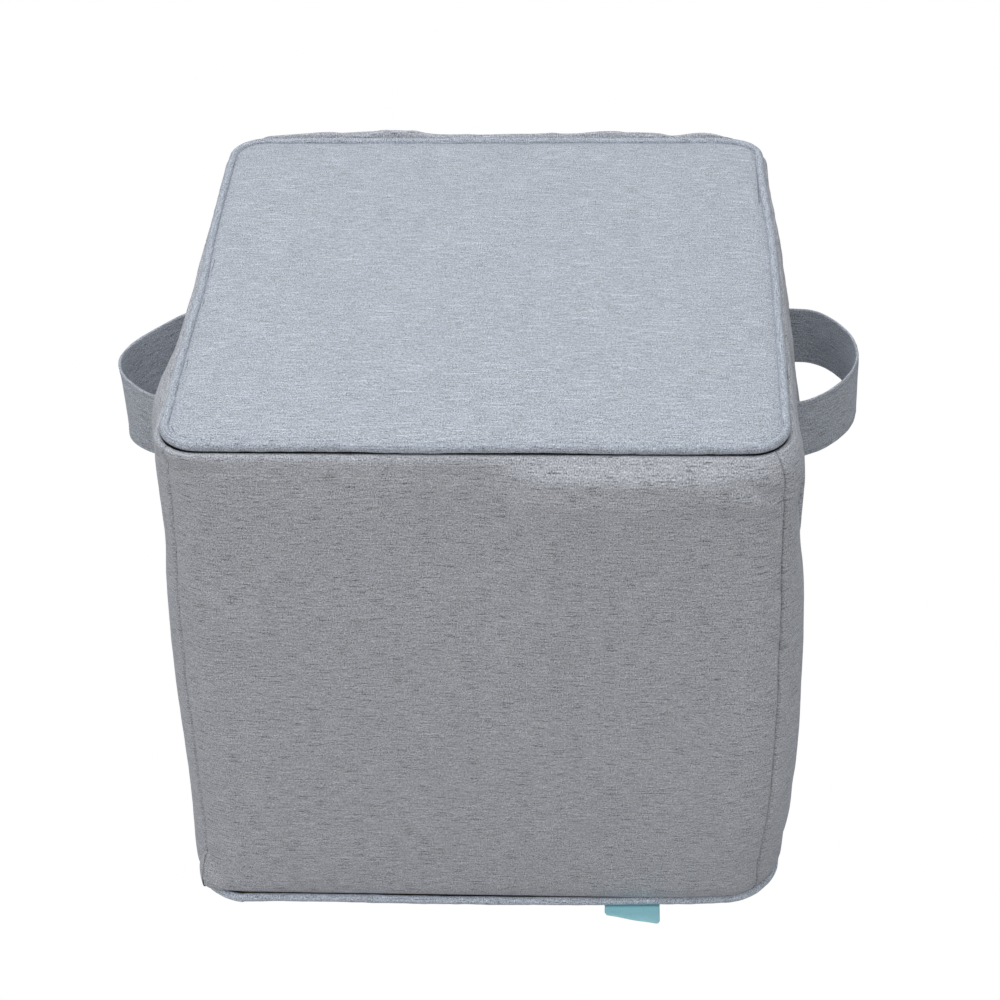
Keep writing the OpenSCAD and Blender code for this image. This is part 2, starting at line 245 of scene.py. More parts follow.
def rough(x, y, cell_x, cell_y, seed):
    """Smooth random hills, from -1 to 1, with the given sizes."""
    table = np.random.default_rng(seed).uniform(-1, 1, (64, 64))
    gx, gy = x / cell_x + 1000, y / cell_y + 1000
    ix, iy = np.floor(gx).astype(int), np.floor(gy).astype(int)
    fx, fy = smooth(gx - ix), smooth(gy - iy)
    a, b = table[ix % 64, iy % 64], table[(ix + 1) % 64, iy % 64]
    c, d = table[ix % 64, (iy + 1) % 64], table[(ix + 1) % 64, (iy + 1) % 64]
    return (a * (1 - fx) + b * fx) * (1 - fy) + (c * (1 - fx) + d * fx) * fy


def steps(start, end, fine, coarse, edge):
    """Positions from start to end, close together near both ends."""
    out, x = [start], start
    while x < end - fine * 0.6:
        near = min(x - start, end - x)
        x = min(end, x + fine + (coarse - fine) * min(1.0, near / edge))
        out.append(x)
    out[-1] = end
    return np.array(out)


def resample(points, step):
    """Points along a polyline at even steps, with their distances."""
    p = np.asarray(points, float)
    d = np.concatenate([[0], np.cumsum(np.linalg.norm(np.diff(p, axis=0), axis=1))])
    s = np.linspace(0, d[-1], max(2, int(round(d[-1] / step)) + 1))
    return np.stack([np.interp(s, d, p[:, i]) for i in range(p.shape[1])], 1), s


def smooth_path(points, step):
    """A smooth curve through a few points (Catmull-Rom), at even steps."""
    p = np.asarray(points, float)
    q = np.vstack([2 * p[0] - p[1], p, 2 * p[-1] - p[-2]])
    out = []
    for i in range(1, len(q) - 2):
        t = np.linspace(0, 1, 24, endpoint=False)[:, None]
        a, b, c, d = q[i - 1], q[i], q[i + 1], q[i + 2]
        out.append(0.5 * (2 * b + (c - a) * t + (2 * a - 5 * b + 4 * c - d) * t**2
                          + (3 * b - a - 3 * c + d) * t**3))
    out.append(q[-2][None])
    return resample(np.vstack(out), step)


def new_object(name, verts, faces, uvs, material):
    """uvs holds one (u, v) in metres for each vertex, or for each face corner."""
    mesh = bpy.data.meshes.new(name)
    mesh.from_pydata([tuple(v) for v in verts], [], [tuple(f) for f in faces])
    layer = mesh.uv_layers.new(name="UVMap")
    loops = np.zeros(len(mesh.loops), np.int64)
    mesh.loops.foreach_get("vertex_index", loops)
    uvs = np.asarray(uvs, float)
    flat = uvs if len(uvs) == len(loops) and len(uvs) != len(verts) else uvs[loops]
    layer.data.foreach_set("uv", flat.astype(np.float32).ravel())
    mesh.polygons.foreach_set("use_smooth", [True] * len(mesh.polygons))
    mesh.materials.append(material)
    mesh.update()
    obj = bpy.data.objects.new(name, mesh)
    bpy.context.scene.collection.objects.link(obj)
    return obj


def grid(name, points, uv, material, closed=(False, False)):
    """A sheet from a grid of points (rows, columns, 3), with faces' outsides to the
    right of the way the rows run."""
    nu, nv = points.shape[:2]
    ids = np.arange(nu * nv).reshape(nu, nv)
    right = np.roll(ids, -1, 0)
    up = np.roll(ids, -1, 1)
    both = np.roll(right, -1, 1)
    faces = np.stack([ids, right, both, up], -1)
    nu2, nv2 = (nu if closed[0] else nu - 1), (nv if closed[1] else nv - 1)
    faces = faces[:nu2, :nv2].reshape(-1, 4)
    # uv per corner, so that closed ways round don't run backwards on the last face
    if closed[0] or closed[1]:
        du = uv[-1, 0] + (uv[-1, 0] - uv[-2, 0]) if closed[0] else None
        dv = uv[0, -1] + (uv[0, -1] - uv[0, -2]) if closed[1] else None
        wide = np.zeros((nu + 1, nv + 1, 2))
        wide[:nu, :nv] = uv
        wide[nu, :nv] = uv[0] + (du - uv[0, 0]) if closed[0] else 0
        wide[:, nv] = wide[:, 0] + ((dv - uv[0, 0]) if closed[1] else 0)
        corner = np.stack([wide[:nu, :nv], wide[1:, :nv], wide[1:, 1:], wide[:nu, 1:]], 2)
        uvs = corner[:nu2, :nv2].reshape(-1, 2)
    else:
        uvs = uv.reshape(-1, 2)
    return new_object(name, points.reshape(-1, 3), faces, uvs, material)


# ------------------------------------------------------------ materials


def node(tree, kind, inputs=(), **settings):
    n = tree.nodes.new(kind)
    for key, value in settings.items():
        setattr(n, key, value)
    for key, value in dict(inputs).items():
        if isinstance(value, bpy.types.NodeSocket):
            tree.links.new(value, n.inputs[key])
        else:
            n.inputs[key].default_value = value
    return n


def maths(tree, op, a, b=0.0, c=None):
    ins = {0: a, 1: b}
    if c is not None:
        ins[2] = c
    return node(tree, "ShaderNodeMath", ins, operation=op).outputs[0]


def vary(tree, level, value, amount):
    """Lighten or darken a level by a noise whose middle is one half."""
    return maths(tree, "MULTIPLY_ADD", maths(tree, "SUBTRACT", value, 0.5), amount, level)


def mix(tree, amount, a, b, how="MIX"):
    n = node(tree, "ShaderNodeMix", {}, data_type="RGBA", blend_type=how)
    for socket, value in ((n.inputs[0], amount), (n.inputs[6], a), (n.inputs[7], b)):
        if isinstance(value, bpy.types.NodeSocket):
            tree.links.new(value, socket)
        else:
            socket.default_value = value
    return n.outputs[2]


def ramp(tree, value, stops):
    n = node(tree, "ShaderNodeValToRGB", {0: value})
    points = n.color_ramp.elements
    while len(points) < len(stops):
        points.new(0.5)
    for e, (at, level) in zip(points, stops):
        e.position = at
        e.color = (level, level, level, 1)
    return n.outputs[0]


def linear(rgb):
    return tuple(((c + 0.055) / 1.055) ** 2.4 if c > 0.04 else c / 12.92 for c in rgb) + (1.0,)


def noise(tree, vector, scale, detail=2.0, roughness=0.5):
    """Noise with its own scale on each axis; vector is in metres."""
    v = node(tree, "ShaderNodeVectorMath", {0: vector, 1: scale}, operation="MULTIPLY")
    return node(tree, "ShaderNodeTexNoise",
                {"Vector": v.outputs[0], "Scale": 1.0, "Detail": detail, "Roughness": roughness}).outputs[0]


def new_material(name):
    m = bpy.data.materials.new(name)
    m.use_nodes = True
    m.node_tree.nodes.clear()
    out = m.node_tree.nodes.new("ShaderNodeOutputMaterial")
    shader = m.node_tree.nodes.new("ShaderNodeBsdfPrincipled")
    m.node_tree.links.new(shader.outputs[0], out.inputs[0])
    return m, m.node_tree, shader


def slub_cloth(name, colour, light=1.0, dark=1.0, cross=1.0):
    """Plain weave with slubs: weft yarns run along u and swell and fade as they go."""
    m, t, shader = new_material(name)
    uv = node(t, "ShaderNodeUVMap", uv_map="UVMap").outputs[0]
    base = linear(colour)
    # yarn to yarn melange: specks, short and long streaks along the weft, faint ones along the warp
    yarns = noise(t, uv, (240, 1000, 1), 1, 0.5)
    speck = noise(t, uv, (1150, 950, 1), 0, 0.5)
    short = noise(t, uv, (80, 880, 1), 1, 0.5)
    long = noise(t, uv, (34, 740, 1), 1, 0.5)
    warp = noise(t, uv, (1000, 190, 1), 1, 0.5)
    cloud = noise(t, uv, (26, 30, 1), 3, 0.6)
    level = vary(t, 1.0, yarns, 0.70)
    level = vary(t, level, speck, 1.60)
    level = vary(t, level, short, 0.62)
    level = vary(t, level, warp, 0.40 * cross)
    level = vary(t, level, cloud, 0.16)
    # Long light streaks are yarn melange; where light is raised and dark lowered, as on the lid's copy, they are also
    # painted sheen.
    level = maths(t, "MULTIPLY_ADD", ramp(t, long, [(0.58, 0.0), (0.72, 1.0)]), 0.20 * light, level)
    level = maths(t, "MULTIPLY_ADD", ramp(t, short, [(0.28, 1.0), (0.40, 0.0)]), -0.22 * dark, level)
    grey = node(t, "ShaderNodeCombineColor", {0: level, 1: level, 2: level}).outputs[0]
    colour_out = mix(t, 1.0, base, grey, "MULTIPLY")
    # the weave itself: crossing yarns about half a millimetre apart
    xyz = node(t, "ShaderNodeSeparateXYZ", {0: uv})
    weft = maths(t, "SINE", maths(t, "MULTIPLY", xyz.outputs[1], 2 * math.pi / WEAVE_PITCH))
    over = maths(t, "SINE", maths(t, "MULTIPLY", xyz.outputs[0], 2 * math.pi / WEAVE_PITCH))
    weave = maths(t, "MULTIPLY", weft, over)
    height = maths(t, "MULTIPLY_ADD", weave, 0.25, maths(t, "ADD", maths(t, "MULTIPLY", yarns, 0.9), long))
    bump = node(t, "ShaderNodeBump", {"Strength": 0.55, "Distance": 0.00035, "Height": height})
    t.links.new(colour_out, shader.inputs["Base Color"])
    t.links.new(bump.outputs[0], shader.inputs["Normal"])
    shader.inputs["Roughness"].default_value = 0.82
    shader.inputs["Specular IOR Level"].default_value = 0.28
    shader.inputs["Sheen Weight"].default_value = 0.18
    shader.inputs["Sheen Roughness"].default_value = 0.45
    shader.inputs["Sheen Tint"].default_value = (0.86, 0.92, 1.0, 1.0)
    return m


def plain_cloth(name, colour, pitch, depth, rough_value=0.8, contrast=0.18, rib=False, coords="UVMap"):
    """Close plain cloth or ribbon: yarns pitch apart, ribbed across u if rib is set."""
    m, t, shader = new_material(name)
    if coords == "UVMap":
        uv = node(t, "ShaderNodeUVMap", uv_map="UVMap").outputs[0]
    else:
        uv = node(t, "ShaderNodeTexCoord").outputs["Object"]
    xyz = node(t, "ShaderNodeSeparateXYZ", {0: uv})
    k = 2 * math.pi / pitch
    a = maths(t, "SINE", maths(t, "MULTIPLY", maths(t, "ADD", xyz.outputs[0], xyz.outputs[2]), k))
    b = maths(t, "SINE", maths(t, "MULTIPLY", xyz.outputs[1], k))
    weave = a if rib else maths(t, "MULTIPLY", a, b)
    cloud = noise(t, uv, (60, 60, 60), 3)
    fleck = noise(t, uv, (900, 900, 900), 2)
    level = vary(t, 1.0, fleck, contrast * 1.6)
    level = vary(t, level, cloud, contrast)
    level = maths(t, "MULTIPLY_ADD", weave, contrast * 0.4, level)
    grey = node(t, "ShaderNodeCombineColor", {0: level, 1: level, 2: level}).outputs[0]
    bump = node(t, "ShaderNodeBump", {"Strength": 0.6, "Distance": depth, "Height": weave})
    t.links.new(mix(t, 1.0, linear(colour), grey, "MULTIPLY"), shader.inputs["Base Color"])
    t.links.new(bump.outputs[0], shader.inputs["Normal"])
    shader.inputs["Roughness"].default_value = rough_value
    shader.inputs["Sheen Weight"].default_value = 0.1
    return m


def brushed_metal(name, colour):
    m, t, shader = new_material(name)
    where = node(t, "ShaderNodeTexCoord").outputs["Object"]
    lines = noise(t, where, (400, 9000, 9000), 2)
    bump = node(t, "ShaderNodeBump", {"Strength": 0.25, "Distance": 0.00005, "Height": lines})
    darker = linear([c * 0.82 for c in colour])
    t.links.new(mix(t, lines, darker, linear(colour)), shader.inputs["Base Color"])
    t.links.new(bump.outputs[0], shader.inputs["Normal"])
    shader.inputs["Metallic"].default_value = 1.0
    shader.inputs["Roughness"].default_value = 0.34
    return m


def speckled(name, colour, cell, contrast, rough_value, depth):
    """Foam, card and cord: grain in all directions."""
    m, t, shader = new_material(name)
    where = node(t, "ShaderNodeTexCoord").outputs["Object"]
    grain = noise(t, where, (1 / cell,) * 3, 3, 0.6)
    level = vary(t, 1.0, grain, contrast)
    grey = node(t, "ShaderNodeCombineColor", {0: level, 1: level, 2: level}).outputs[0]
    bump = node(t, "ShaderNodeBump", {"Strength": 0.5, "Distance": depth, "Height": grain})
    t.links.new(mix(t, 1.0, linear(colour), grey, "MULTIPLY"), shader.inputs["Base Color"])
    t.links.new(bump.outputs[0], shader.inputs["Normal"])
    shader.inputs["Roughness"].default_value = rough_value
    return m


CLOTH = slub_cloth("wall_cloth", (0.735, 0.738, 0.758), light=0.9, dark=1.2)
# The lid's copy of the wall cloth is painted light: its cooler tint, its extra light streaks and its fewer dark ones
# stand in for the cool overhead light and sheen on the top.
LID_CLOTH_PAINTED_LIGHT = slub_cloth("lid_cloth", (0.728, 0.743, 0.772), light=1.5, dark=0.4)
PIPE_CLOTH = slub_cloth("piping_cloth", (0.72, 0.74, 0.775), light=0.8, dark=0.8, cross=1.4)
# The foot piping's copy of the piping cloth is painted light: it is lighter and bluer than the lid piping's, for the
# light that falls on the foot piping.
FOOT_PIPE_CLOTH_PAINTED_LIGHT = slub_cloth("foot_piping_cloth", (0.79, 0.815, 0.855), light=0.8, dark=0.5, cross=1.4)
STRAP_CLOTH = slub_cloth("strap_cloth", (0.70, 0.715, 0.745), light=0.8, dark=1.0)
LABEL = plain_cloth("label_ribbon", (0.71, 0.95, 0.98), 0.00055, 0.0001, 0.5, 0.10, rib=True)
LINING = plain_cloth("lining_cloth", (0.42, 0.43, 0.45), 0.0014, 0.00012, 0.85, 0.22)
TAPE = plain_cloth("tape_cloth", (0.50, 0.51, 0.54), 0.0009, 0.0001, 0.75, 0.15)
TAPE_CAD = plain_cloth("tape_cloth_cad", (0.50, 0.51, 0.54), 0.0009, 0.0001, 0.75, 0.15, coords="Object")
PATCH = plain_cloth("patch_cloth", (0.85, 0.85, 0.83), 0.0012, 0.0001, 0.85, 0.12, coords="Object")
THREAD = plain_cloth("thread", (0.62, 0.635, 0.665), 0.0004, 0.00005, 0.6, 0.1, coords="Object")
TEETH = speckled("zip_teeth", (0.44, 0.45, 0.47), 0.0006, 0.25, 0.42, 0.00004)
METAL = brushed_metal("zip_metal", (0.74, 0.74, 0.76))
FOAM = speckled("foam", (0.93, 0.92, 0.86), 0.0012, 0.35, 0.95, 0.0006)
BOARD = speckled("board", (0.62, 0.53, 0.42), 0.0020, 0.30, 0.9, 0.0002)
CORD = speckled("piping_cord", (0.88, 0.87, 0.84), 0.0008, 0.30, 0.9, 0.0003)

# ------------------------------------------------------------ shape of the walls

FOOT_R, FOOT_Z = 0.040, 0.022
SHOULDER_R = 0.035
SHOULDER_Z = TOP - SHOULDER_R


def face_rad(z):
    """The CAD wall's distance out from the corner axes."""
    up = np.clip(z - SHOULDER_Z, 0, SHOULDER_R)
    down = np.clip(FOOT_Z - z, 0, FOOT_R)
    return (CORNER_R - SHOULDER_R + np.sqrt(SHOULDER_R**2 - up**2)
            + np.sqrt(FOOT_R**2 - down**2) - FOOT_R)


# How far each wall stands out from the CAD wall, by height: soft walls bulge and lean
HEIGHTS = (0.022, 0.07, 0.13, 0.20, 0.27, 0.33, 0.39)
LEAN = {
    FRONT: (0.0, 1.0, 1.8, 1.6, 0.0, -3.0, -5.0),
    RIGHT: (0.0, 3.4, 5.2, 5.2, 2.8, -0.4, -3.6),
    BACK: (0.0, 1.5, 3.0, 3.5, 3.0, 2.0, 2.0),
    LEFT: (-1.5, -0.8, -1.4, -3.4, -6.4, -8.4, -7.6),
}
FRONT_RIGHT_HALF = (0.0, 1.2, 2.6, 3.4, 3.6, 3.6, 4.6)
# The same near each corner seam, named for the side whose far end it is
CORNER = {
    FRONT: (0.0, 0.0, 0.0, 0.0, -0.1, -0.6, -0.6),
    RIGHT: (0.0, -1.0, -1.5, -4.0, -8.0, -12.5, -16.0),
    BACK: (0.0, 0.0, 0.0, 0.0, 0.0, 0.0, 0.0),
    LEFT: (0.6, -1.8, -2.0, -1.6, -0.8, -2.4, -4.0),
}
CORNER_REACH = {FRONT: 0.055, RIGHT: 0.080, BACK: 0.055, LEFT: 0.055}
# the back comes out again sooner beside the right wall, clear of the open lid's piping
BACK_NEAR_REACH = 0.038


def on_side(side, along, out):
    """From a side's own (along, out) to the shared frame's x and y."""
    if side == FRONT:
        return along, -out
    if side == RIGHT:
        return out, along
    if side == BACK:
        return -along, out
    return -out, -along


def perimeter(side, a, rad):
    """The point rad out from the corner axes, a along a side measured over its cloth."""
    turn = np.clip((np.abs(a) - CORE) / CORNER_R, 0, math.pi / 2)
    way = np.sign(a)
    along = np.clip(a, -CORE, CORE) + way * rad * np.sin(turn)
    return on_side(side, along, CORE + rad * np.cos(turn))


def lean(side, a, z):
    """Large, slow shape of a wall; it agrees with the next wall at each corner seam."""
    def of(which, along):
        base = curve_through(z, HEIGHTS, LEAN[which])
        if which != FRONT:
            return base
        # the front lies flatter, and stands out further, to the right of the middle
        full = smooth((along - 0.002) / 0.055)
        bold = curve_through(z, HEIGHTS, FRONT_RIGHT_HALF) + 0.9 * bump_at(z, 0.383, 0.006)
        return base * (1 - full) + bold * full

    after = a > 0
    mine = of(side, a)
    before = (side - 1) % 4
    other = np.where(after, of((side + 1) % 4, -PANEL_END), of(before, PANEL_END))
    m = smooth((np.abs(a) - (PANEL_END - 0.11)) / 0.22)
    corner = np.where(after, curve_through(z, HEIGHTS, CORNER[side]),
                      curve_through(z, HEIGHTS, CORNER[before]))
    reach = np.where(after, CORNER_REACH[side], BACK_NEAR_REACH if side == BACK else CORNER_REACH[before])
    shape = (mine * (1 - m) + other * m + corner * bump_at(np.abs(a), PANEL_END, reach)) * MM
    if side == LEFT:
        shape = shape + 0.0112 * bump_at(a, 0.112, 0.052) * smooth((z - 0.352) / 0.036)
    if side == RIGHT:
        # in front of the strap the wall is drawn in
        near = bump_at(a, -0.160, 0.058) * smooth((a + PANEL_END) / 0.035)
        shape = shape - 0.0090 * near * smooth((z - 0.285) / 0.040) * (1 - smooth((z - 0.365) / 0.03))
    return shape


def pillow(a, z, a0, a1, depth):
    """Padding that swells between seams."""
    u = np.clip((a - a0) / (a1 - a0), 0, 1)
    v = np.clip(z / RIM_Z, 0, 1)
    return depth * (1 - (2 * u - 1) ** 4) * (1 - (2 * v - 1) ** 6)


def fold(a, z, at, angle, length, width, depth):
    """A crease or soft ridge: depth is positive for a ridge."""
    c, s = math.cos(math.radians(angle)), math.sin(math.radians(angle))
    x, y = (a - at[0]) * c + (z - at[1]) * s, -(a - at[0]) * s + (z - at[1]) * c
    across = y / width
    shape = np.exp(-(across**2)) - 0.55 * np.exp(-(((across - 1.9) / 1.3) ** 2))
    return depth * shape * np.exp(-((x / length) ** 4))


FOLDS = {
    FRONT: [((0.196, 0.392), 150, 0.020, 0.005, -0.0028), ((0.178, 0.386), 168, 0.026, 0.005, 0.0012),
            ((0.200, 0.050), 115, 0.024, 0.005, -0.0014), ((-0.120, 0.392), 4, 0.050, 0.006, -0.0008),
            ((0.060, 0.395), -3, 0.060, 0.006, -0.0007), ((0.120, 0.120), 62, 0.060, 0.010, -0.0007),
            ((-0.060, 0.250), 80, 0.070, 0.012, -0.0005)],
    RIGHT: [((-0.064, 0.275), 88, 0.030, 0.004, -0.0016), ((-0.150, 0.330), 30, 0.030, 0.006, -0.0012),
            ((0.100, 0.300), -40, 0.040, 0.008, -0.0012), ((0.000, 0.180), 5, 0.080, 0.012, -0.0008),
            ((-0.180, 0.060), 60, 0.030, 0.006, -0.0016)],
    LEFT: [((0.150, 0.383), 5, 0.026, 0.004, -0.0022), ((0.120, 0.372), -12, 0.030, 0.006, -0.0014),
           ((0.180, 0.300), 70, 0.040, 0.007, -0.0012), ((-0.090, 0.280), 40, 0.040, 0.008, -0.0010),
           ((0.000, 0.160), -6, 0.080, 0.012, -0.0008), ((0.150, 0.050), 120, 0.026, 0.006, -0.0008)],
    BACK: [((0.050, 0.380), 8, 0.050, 0.007, -0.0014), ((-0.100, 0.372), -10, 0.050, 0.008, -0.0016),
           ((0.150, 0.200), 70, 0.050, 0.010, -0.0008), ((-0.140, 0.120), 100, 0.050, 0.010, -0.0008)],
}


def cloth_relief(side, a, z, a0, a1):
    """Everything finer than the lean: swelling, seam puckers, dents and creases."""
    edge = np.minimum(a - a0, a1 - a)
    to_rim, to_foot = RIM_Z - z, z - 0.008
    seed = 11 + 7 * side
    d = pillow(a, z, a0, a1, 0.0016)
    d += rough(a, z, 0.085, 0.110, seed) * 0.0012 + rough(a, z, 0.034, 0.040, seed + 1) * 0.0005
    d += rough(a, z, 0.016, 0.013, seed + 2) * 0.00018
    # puckers run square to the seam that gathers them, and fade into the wall
    by_rim = rough(a, z * 0, 0.0085, 1, seed + 3) * np.exp(-np.clip(to_rim, 0, 1) / 0.022)
    by_foot = rough(a, z * 0, 0.0075, 1, seed + 4) * np.exp(-np.clip(to_foot, 0, 1) / 0.013)
    by_seam = rough(z, a * 0, 0.0100, 1, seed + 5) * np.exp(-np.clip(edge, 0, 1) / 0.012)
    d += by_rim * 0.0009 + by_foot * 0.0007 + by_seam * 0.0006
    for f in FOLDS[side]:
        d += fold(a, z, *f)
    if side == RIGHT:
        # the strap pulls its strip out past the one in front of it
        if a0 >= -STRAP_Y:
            out = smooth((a + STRAP_Y) / 0.0050) * (1 - smooth((a + 0.052) / 0.062))
            d = d + 0.0074 * out * bump_at(z, 0.292, 0.074)
        else:
            d = d - 0.0010 * np.exp(-np.abs(a + STRAP_Y) / 0.014) * bump_at(z, 0.300, 0.055)
    return d + gusset(side, a, z)


def soften(x, y, z):
    """The front right foot is rounder than the others."""
    low_z = 1 - smooth((z - 0.02) / 0.12)
    push = 0.0066 * low_z * np.exp(-(((x - 0.215) ** 2 + (y + 0.215) ** 2) / 0.045**2))
    x, y = x - push * 0.75, y + push * 0.75
    return x, y


def seam_gape(side, seam, z):
    """How much deeper a seam is drawn in than the others, by height."""
    if side == RIGHT and abs(seam + STRAP_Y) < 0.001:
        return 0.0009 * bump_at(z, 0.290, 0.050)
    if side == LEFT and abs(seam - STRAP_Y) < 0.001:
        return 0.0020 * bump_at(z, 0.300, 0.040)
    if (side == FRONT and seam < 0) or (side == LEFT and seam > 0.1):
        return -0.0022 * (1 - smooth((z - 0.038) / 0.006))
    return 0.0 * z


def rim_shift(side, a):
    """The opening is drawn in a little at its rear right corner."""
    if side == RIGHT:
        return -0.0034 * smooth((a - 0.05) / 0.10)
    if side == BACK:
        return -0.0034 * smooth((-a - 0.14) / 0.07)
    return 0.0 * a


def rim_rise(side, a):
    """The rim stands up to the piping, except where the puller passes over it."""
    if side == FRONT:
        return 0.0011 + 0.0 * a
    if side == LEFT:
        return 0.0011 * smooth((a + 0.16) / 0.04)
    if side == RIGHT:
        return 0.0011 * smooth((-0.192 - a) / 0.012)
    return 0.0 * a


def gusset(side, a, z):
    """At the front left foot the cloth is squared off in two small flat tucks that
    start at a point on the corner seam and overhang the piping."""
    if side == FRONT:
        away, spread = a + PANEL_END, 0.31
    elif side == LEFT:
        away, spread = PANEL_END - a, 0.42
    else:
        return 0.0 * a
    fall = np.clip(0.046 - z, 0, 0.036)
    tuck = np.clip(0.235 * fall - spread * away, 0, None)
    crease = np.exp(-(((0.235 * fall - spread * away) / 0.0006) ** 2)) * smooth(fall / 0.004)
    return tuck - 0.0005 * crease


def wall_section(side):
    """Section of a wall's cloth, as (distance out, height): from the foot piping up the
    wall, over the rim and down inside to the lining."""
    rim_rad = float(face_rad(np.array(RIM_Z)))
    if side == BACK:
        outside = [(face_rad(np.array(z)), z) for z in np.linspace(0.0092, 0.386, 120)]
        outside += [(0.0400, 0.392), (0.0404, 0.399), (0.0405, 0.406), (0.0401, 0.4115), (0.0391, 0.4155),
                    (0.0376, 0.4172), (0.0361, 0.4164), (0.0350, 0.4144), (0.0338, 0.4135),
                    (0.0318, RIM_Z - 0.0004), (0.0307, RIM_Z - 0.0006)]
    else:
        outside = [(face_rad(np.array(z)), z) for z in np.linspace(0.0092, RIM_Z - 0.0008, 130)]
    outside = [(r - 0.0012 * math.exp(-(z - 0.009) / 0.006), z) for r, z in outside]
    foot = [(0.0335, 0.0078), (0.0347, 0.0080), (0.0358, 0.0084)]
    over = [(rim_rad - 0.0001, RIM_Z - 0.0003), (rim_rad - 0.0009, RIM_Z - 0.0001),
            (rim_rad - 0.0018, RIM_Z - 0.0005)]
    if side == BACK:
        inside = [(0.0270, RIM_Z - 0.004), (0.0240, RIM_Z - 0.008), (0.0215, RIM_Z - 0.012)]
    else:
        inside = [(0.0274, RIM_Z - 0.0004), (0.0263, RIM_Z - 0.0009), (0.0257, RIM_Z - 0.0024),
                  (0.0252, RIM_Z - 0.008), (0.0245, RIM_Z - 0.0125)]
    inside += [(0.0238, LINING_HI + 0.0045), (0.0225, LINING_HI + 0.0012), (0.0196, LINING_HI + 0.0004)]
    points = np.array([(float(r), float(z)) for r, z in foot + outside + over + inside])
    fine, s = resample(points, 0.0002)
    at = np.concatenate([np.arange(0, 0.055, 0.0013), np.arange(0.055, s[-1] - 0.045, 0.0032),
                         np.arange(s[-1] - 0.045, s[-1] - 0.0006, 0.0016), [s[-1]]])
    return np.stack([np.interp(at, s, fine[:, i]) for i in range(2)], 1), at


# Waves of the gathered back: height, place along the side and width
BACK_WAVES = ((0.0022, 0.078, 0.022), (0.0020, -0.092, 0.020), (-0.0022, -0.141, 0.010),
              (0.0014, -0.168, 0.014))


def wall_piece(name, side, a0, a1, material):
    """One piece of wall cloth, from a0 to a1 along its side."""
    line, s = wall_section(side)
    a = steps(a0, a1, 0.0007, 0.0032, 0.030)
    A, R = np.meshgrid(a, line[:, 0], indexing="ij")
    Z = np.meshgrid(a, line[:, 1], indexing="ij")[1]
    # the rim is where the cloth turns in under the lid
    top = int(np.argmin(np.abs(line[:, 0] - TURN_IN_RAD) + np.abs(line[:, 1] - RIM_Z) + (line[:, 1] < 0.3)))
    seen = np.arange(len(s)) <= top
    outer = np.zeros(len(s))
    outer[:top + 1] = smooth((s[:top + 1] - 0.004) / 0.014) * smooth((s[top] - s[:top + 1]) / 0.018)
    W = outer[None, :] * np.ones_like(A)
    if side in (FRONT, LEFT):
        # the front left foot is tucked over square, and stands clear of the piping
        square = bump_at(A, -PANEL_END if side == FRONT else PANEL_END, 0.030)
        crisp = smooth((s - 0.0024) / 0.005) * smooth((s[top] - s) / 0.018) * seen
        W = W * (1 - square) + crisp[None, :] * square
    turn = np.stack([np.gradient(line[:, i], s) for i in range(2)], 1)
    turn /= np.linalg.norm(turn, axis=1)[:, None]
    n_rad, n_z = turn[:, 1], -turn[:, 0]
    if side == BACK:
        # the gathered top runs out into the plain shoulder at the corner seams
        plain = (1 - smooth((PANEL_END - np.abs(A)) / 0.030)) * seen
        R = R - plain * np.clip(R - face_rad(np.minimum(Z, RIM_Z)), 0, None)
    big = lean(side, A, Z)
    fine = cloth_relief(side, A, Z, a0, a1)
    lift = 0.0 * A
    if side == BACK:
        # gathered cloth stands up in waves behind the lid's piping
        puff = smooth((line[:, 1] - 0.396) / 0.016)[None, :] * seen
        wave = 0.0026 + 0.0008 * rough(A, A * 0, 0.045, 1, 91)
        for high, at, width in BACK_WAVES:
            wave = wave + high * bump_at(A, at, width)
        lift = puff * wave * smooth((s[top] - s - 0.0035) / 0.004)[None, :]
        settle = smooth((PANEL_END - np.abs(A)) / 0.045)
        lift = lift * settle - puff * 0.0030 * (1 - settle) * smooth((s[top] - s) / 0.006)[None, :]
    # the cloth turns in at each seam
    tuck = 0.0
    for seam, away in ((a0, A - a0), (a1, a1 - A)):
        depth = SEAM_TUCK + seam_gape(side, seam, Z)
        tuck = tuck + depth * np.clip(1 - away / SEAM_TUCK_WIDTH, 0, 1) ** 2
    rad = R + W * big + n_rad[None, :] * W * fine - tuck * seen
    z = Z + n_z[None, :] * W * fine + lift
    z = z + rim_rise(side, A) * bump_at(s, s[top] + 0.0022, 0.0034)[None, :]
    rad = rad + rim_shift(side, A) * (1 - W) * (Z > RIM_Z - 0.030)
    rad = rad + rough(A, A * 0, 0.03, 1, 5 + side) * 0.00035 * (1 - W) * (Z > RIM_Z - 0.012) * seen
    x, y = perimeter(side, A, rad)
    x, y = soften(x, y, z)
    uv = np.stack([A + 1.3 * side, np.broadcast_to(s[None, :], A.shape)], -1)
    return grid(name, np.stack([x, y, z], -1), uv, material)


def wall_surface(side, a, z, inset):
    """A point on the smooth shape of a wall, set in from its cloth."""
    rad = face_rad(z) + lean(side, a, z) * smooth((z - 0.0085) / 0.014) * smooth((RIM_Z - z) / 0.016) - inset
    x, y = perimeter(side, a, rad)
    x, y = soften(x, y, z)
    return np.stack([x, y, z], -1)


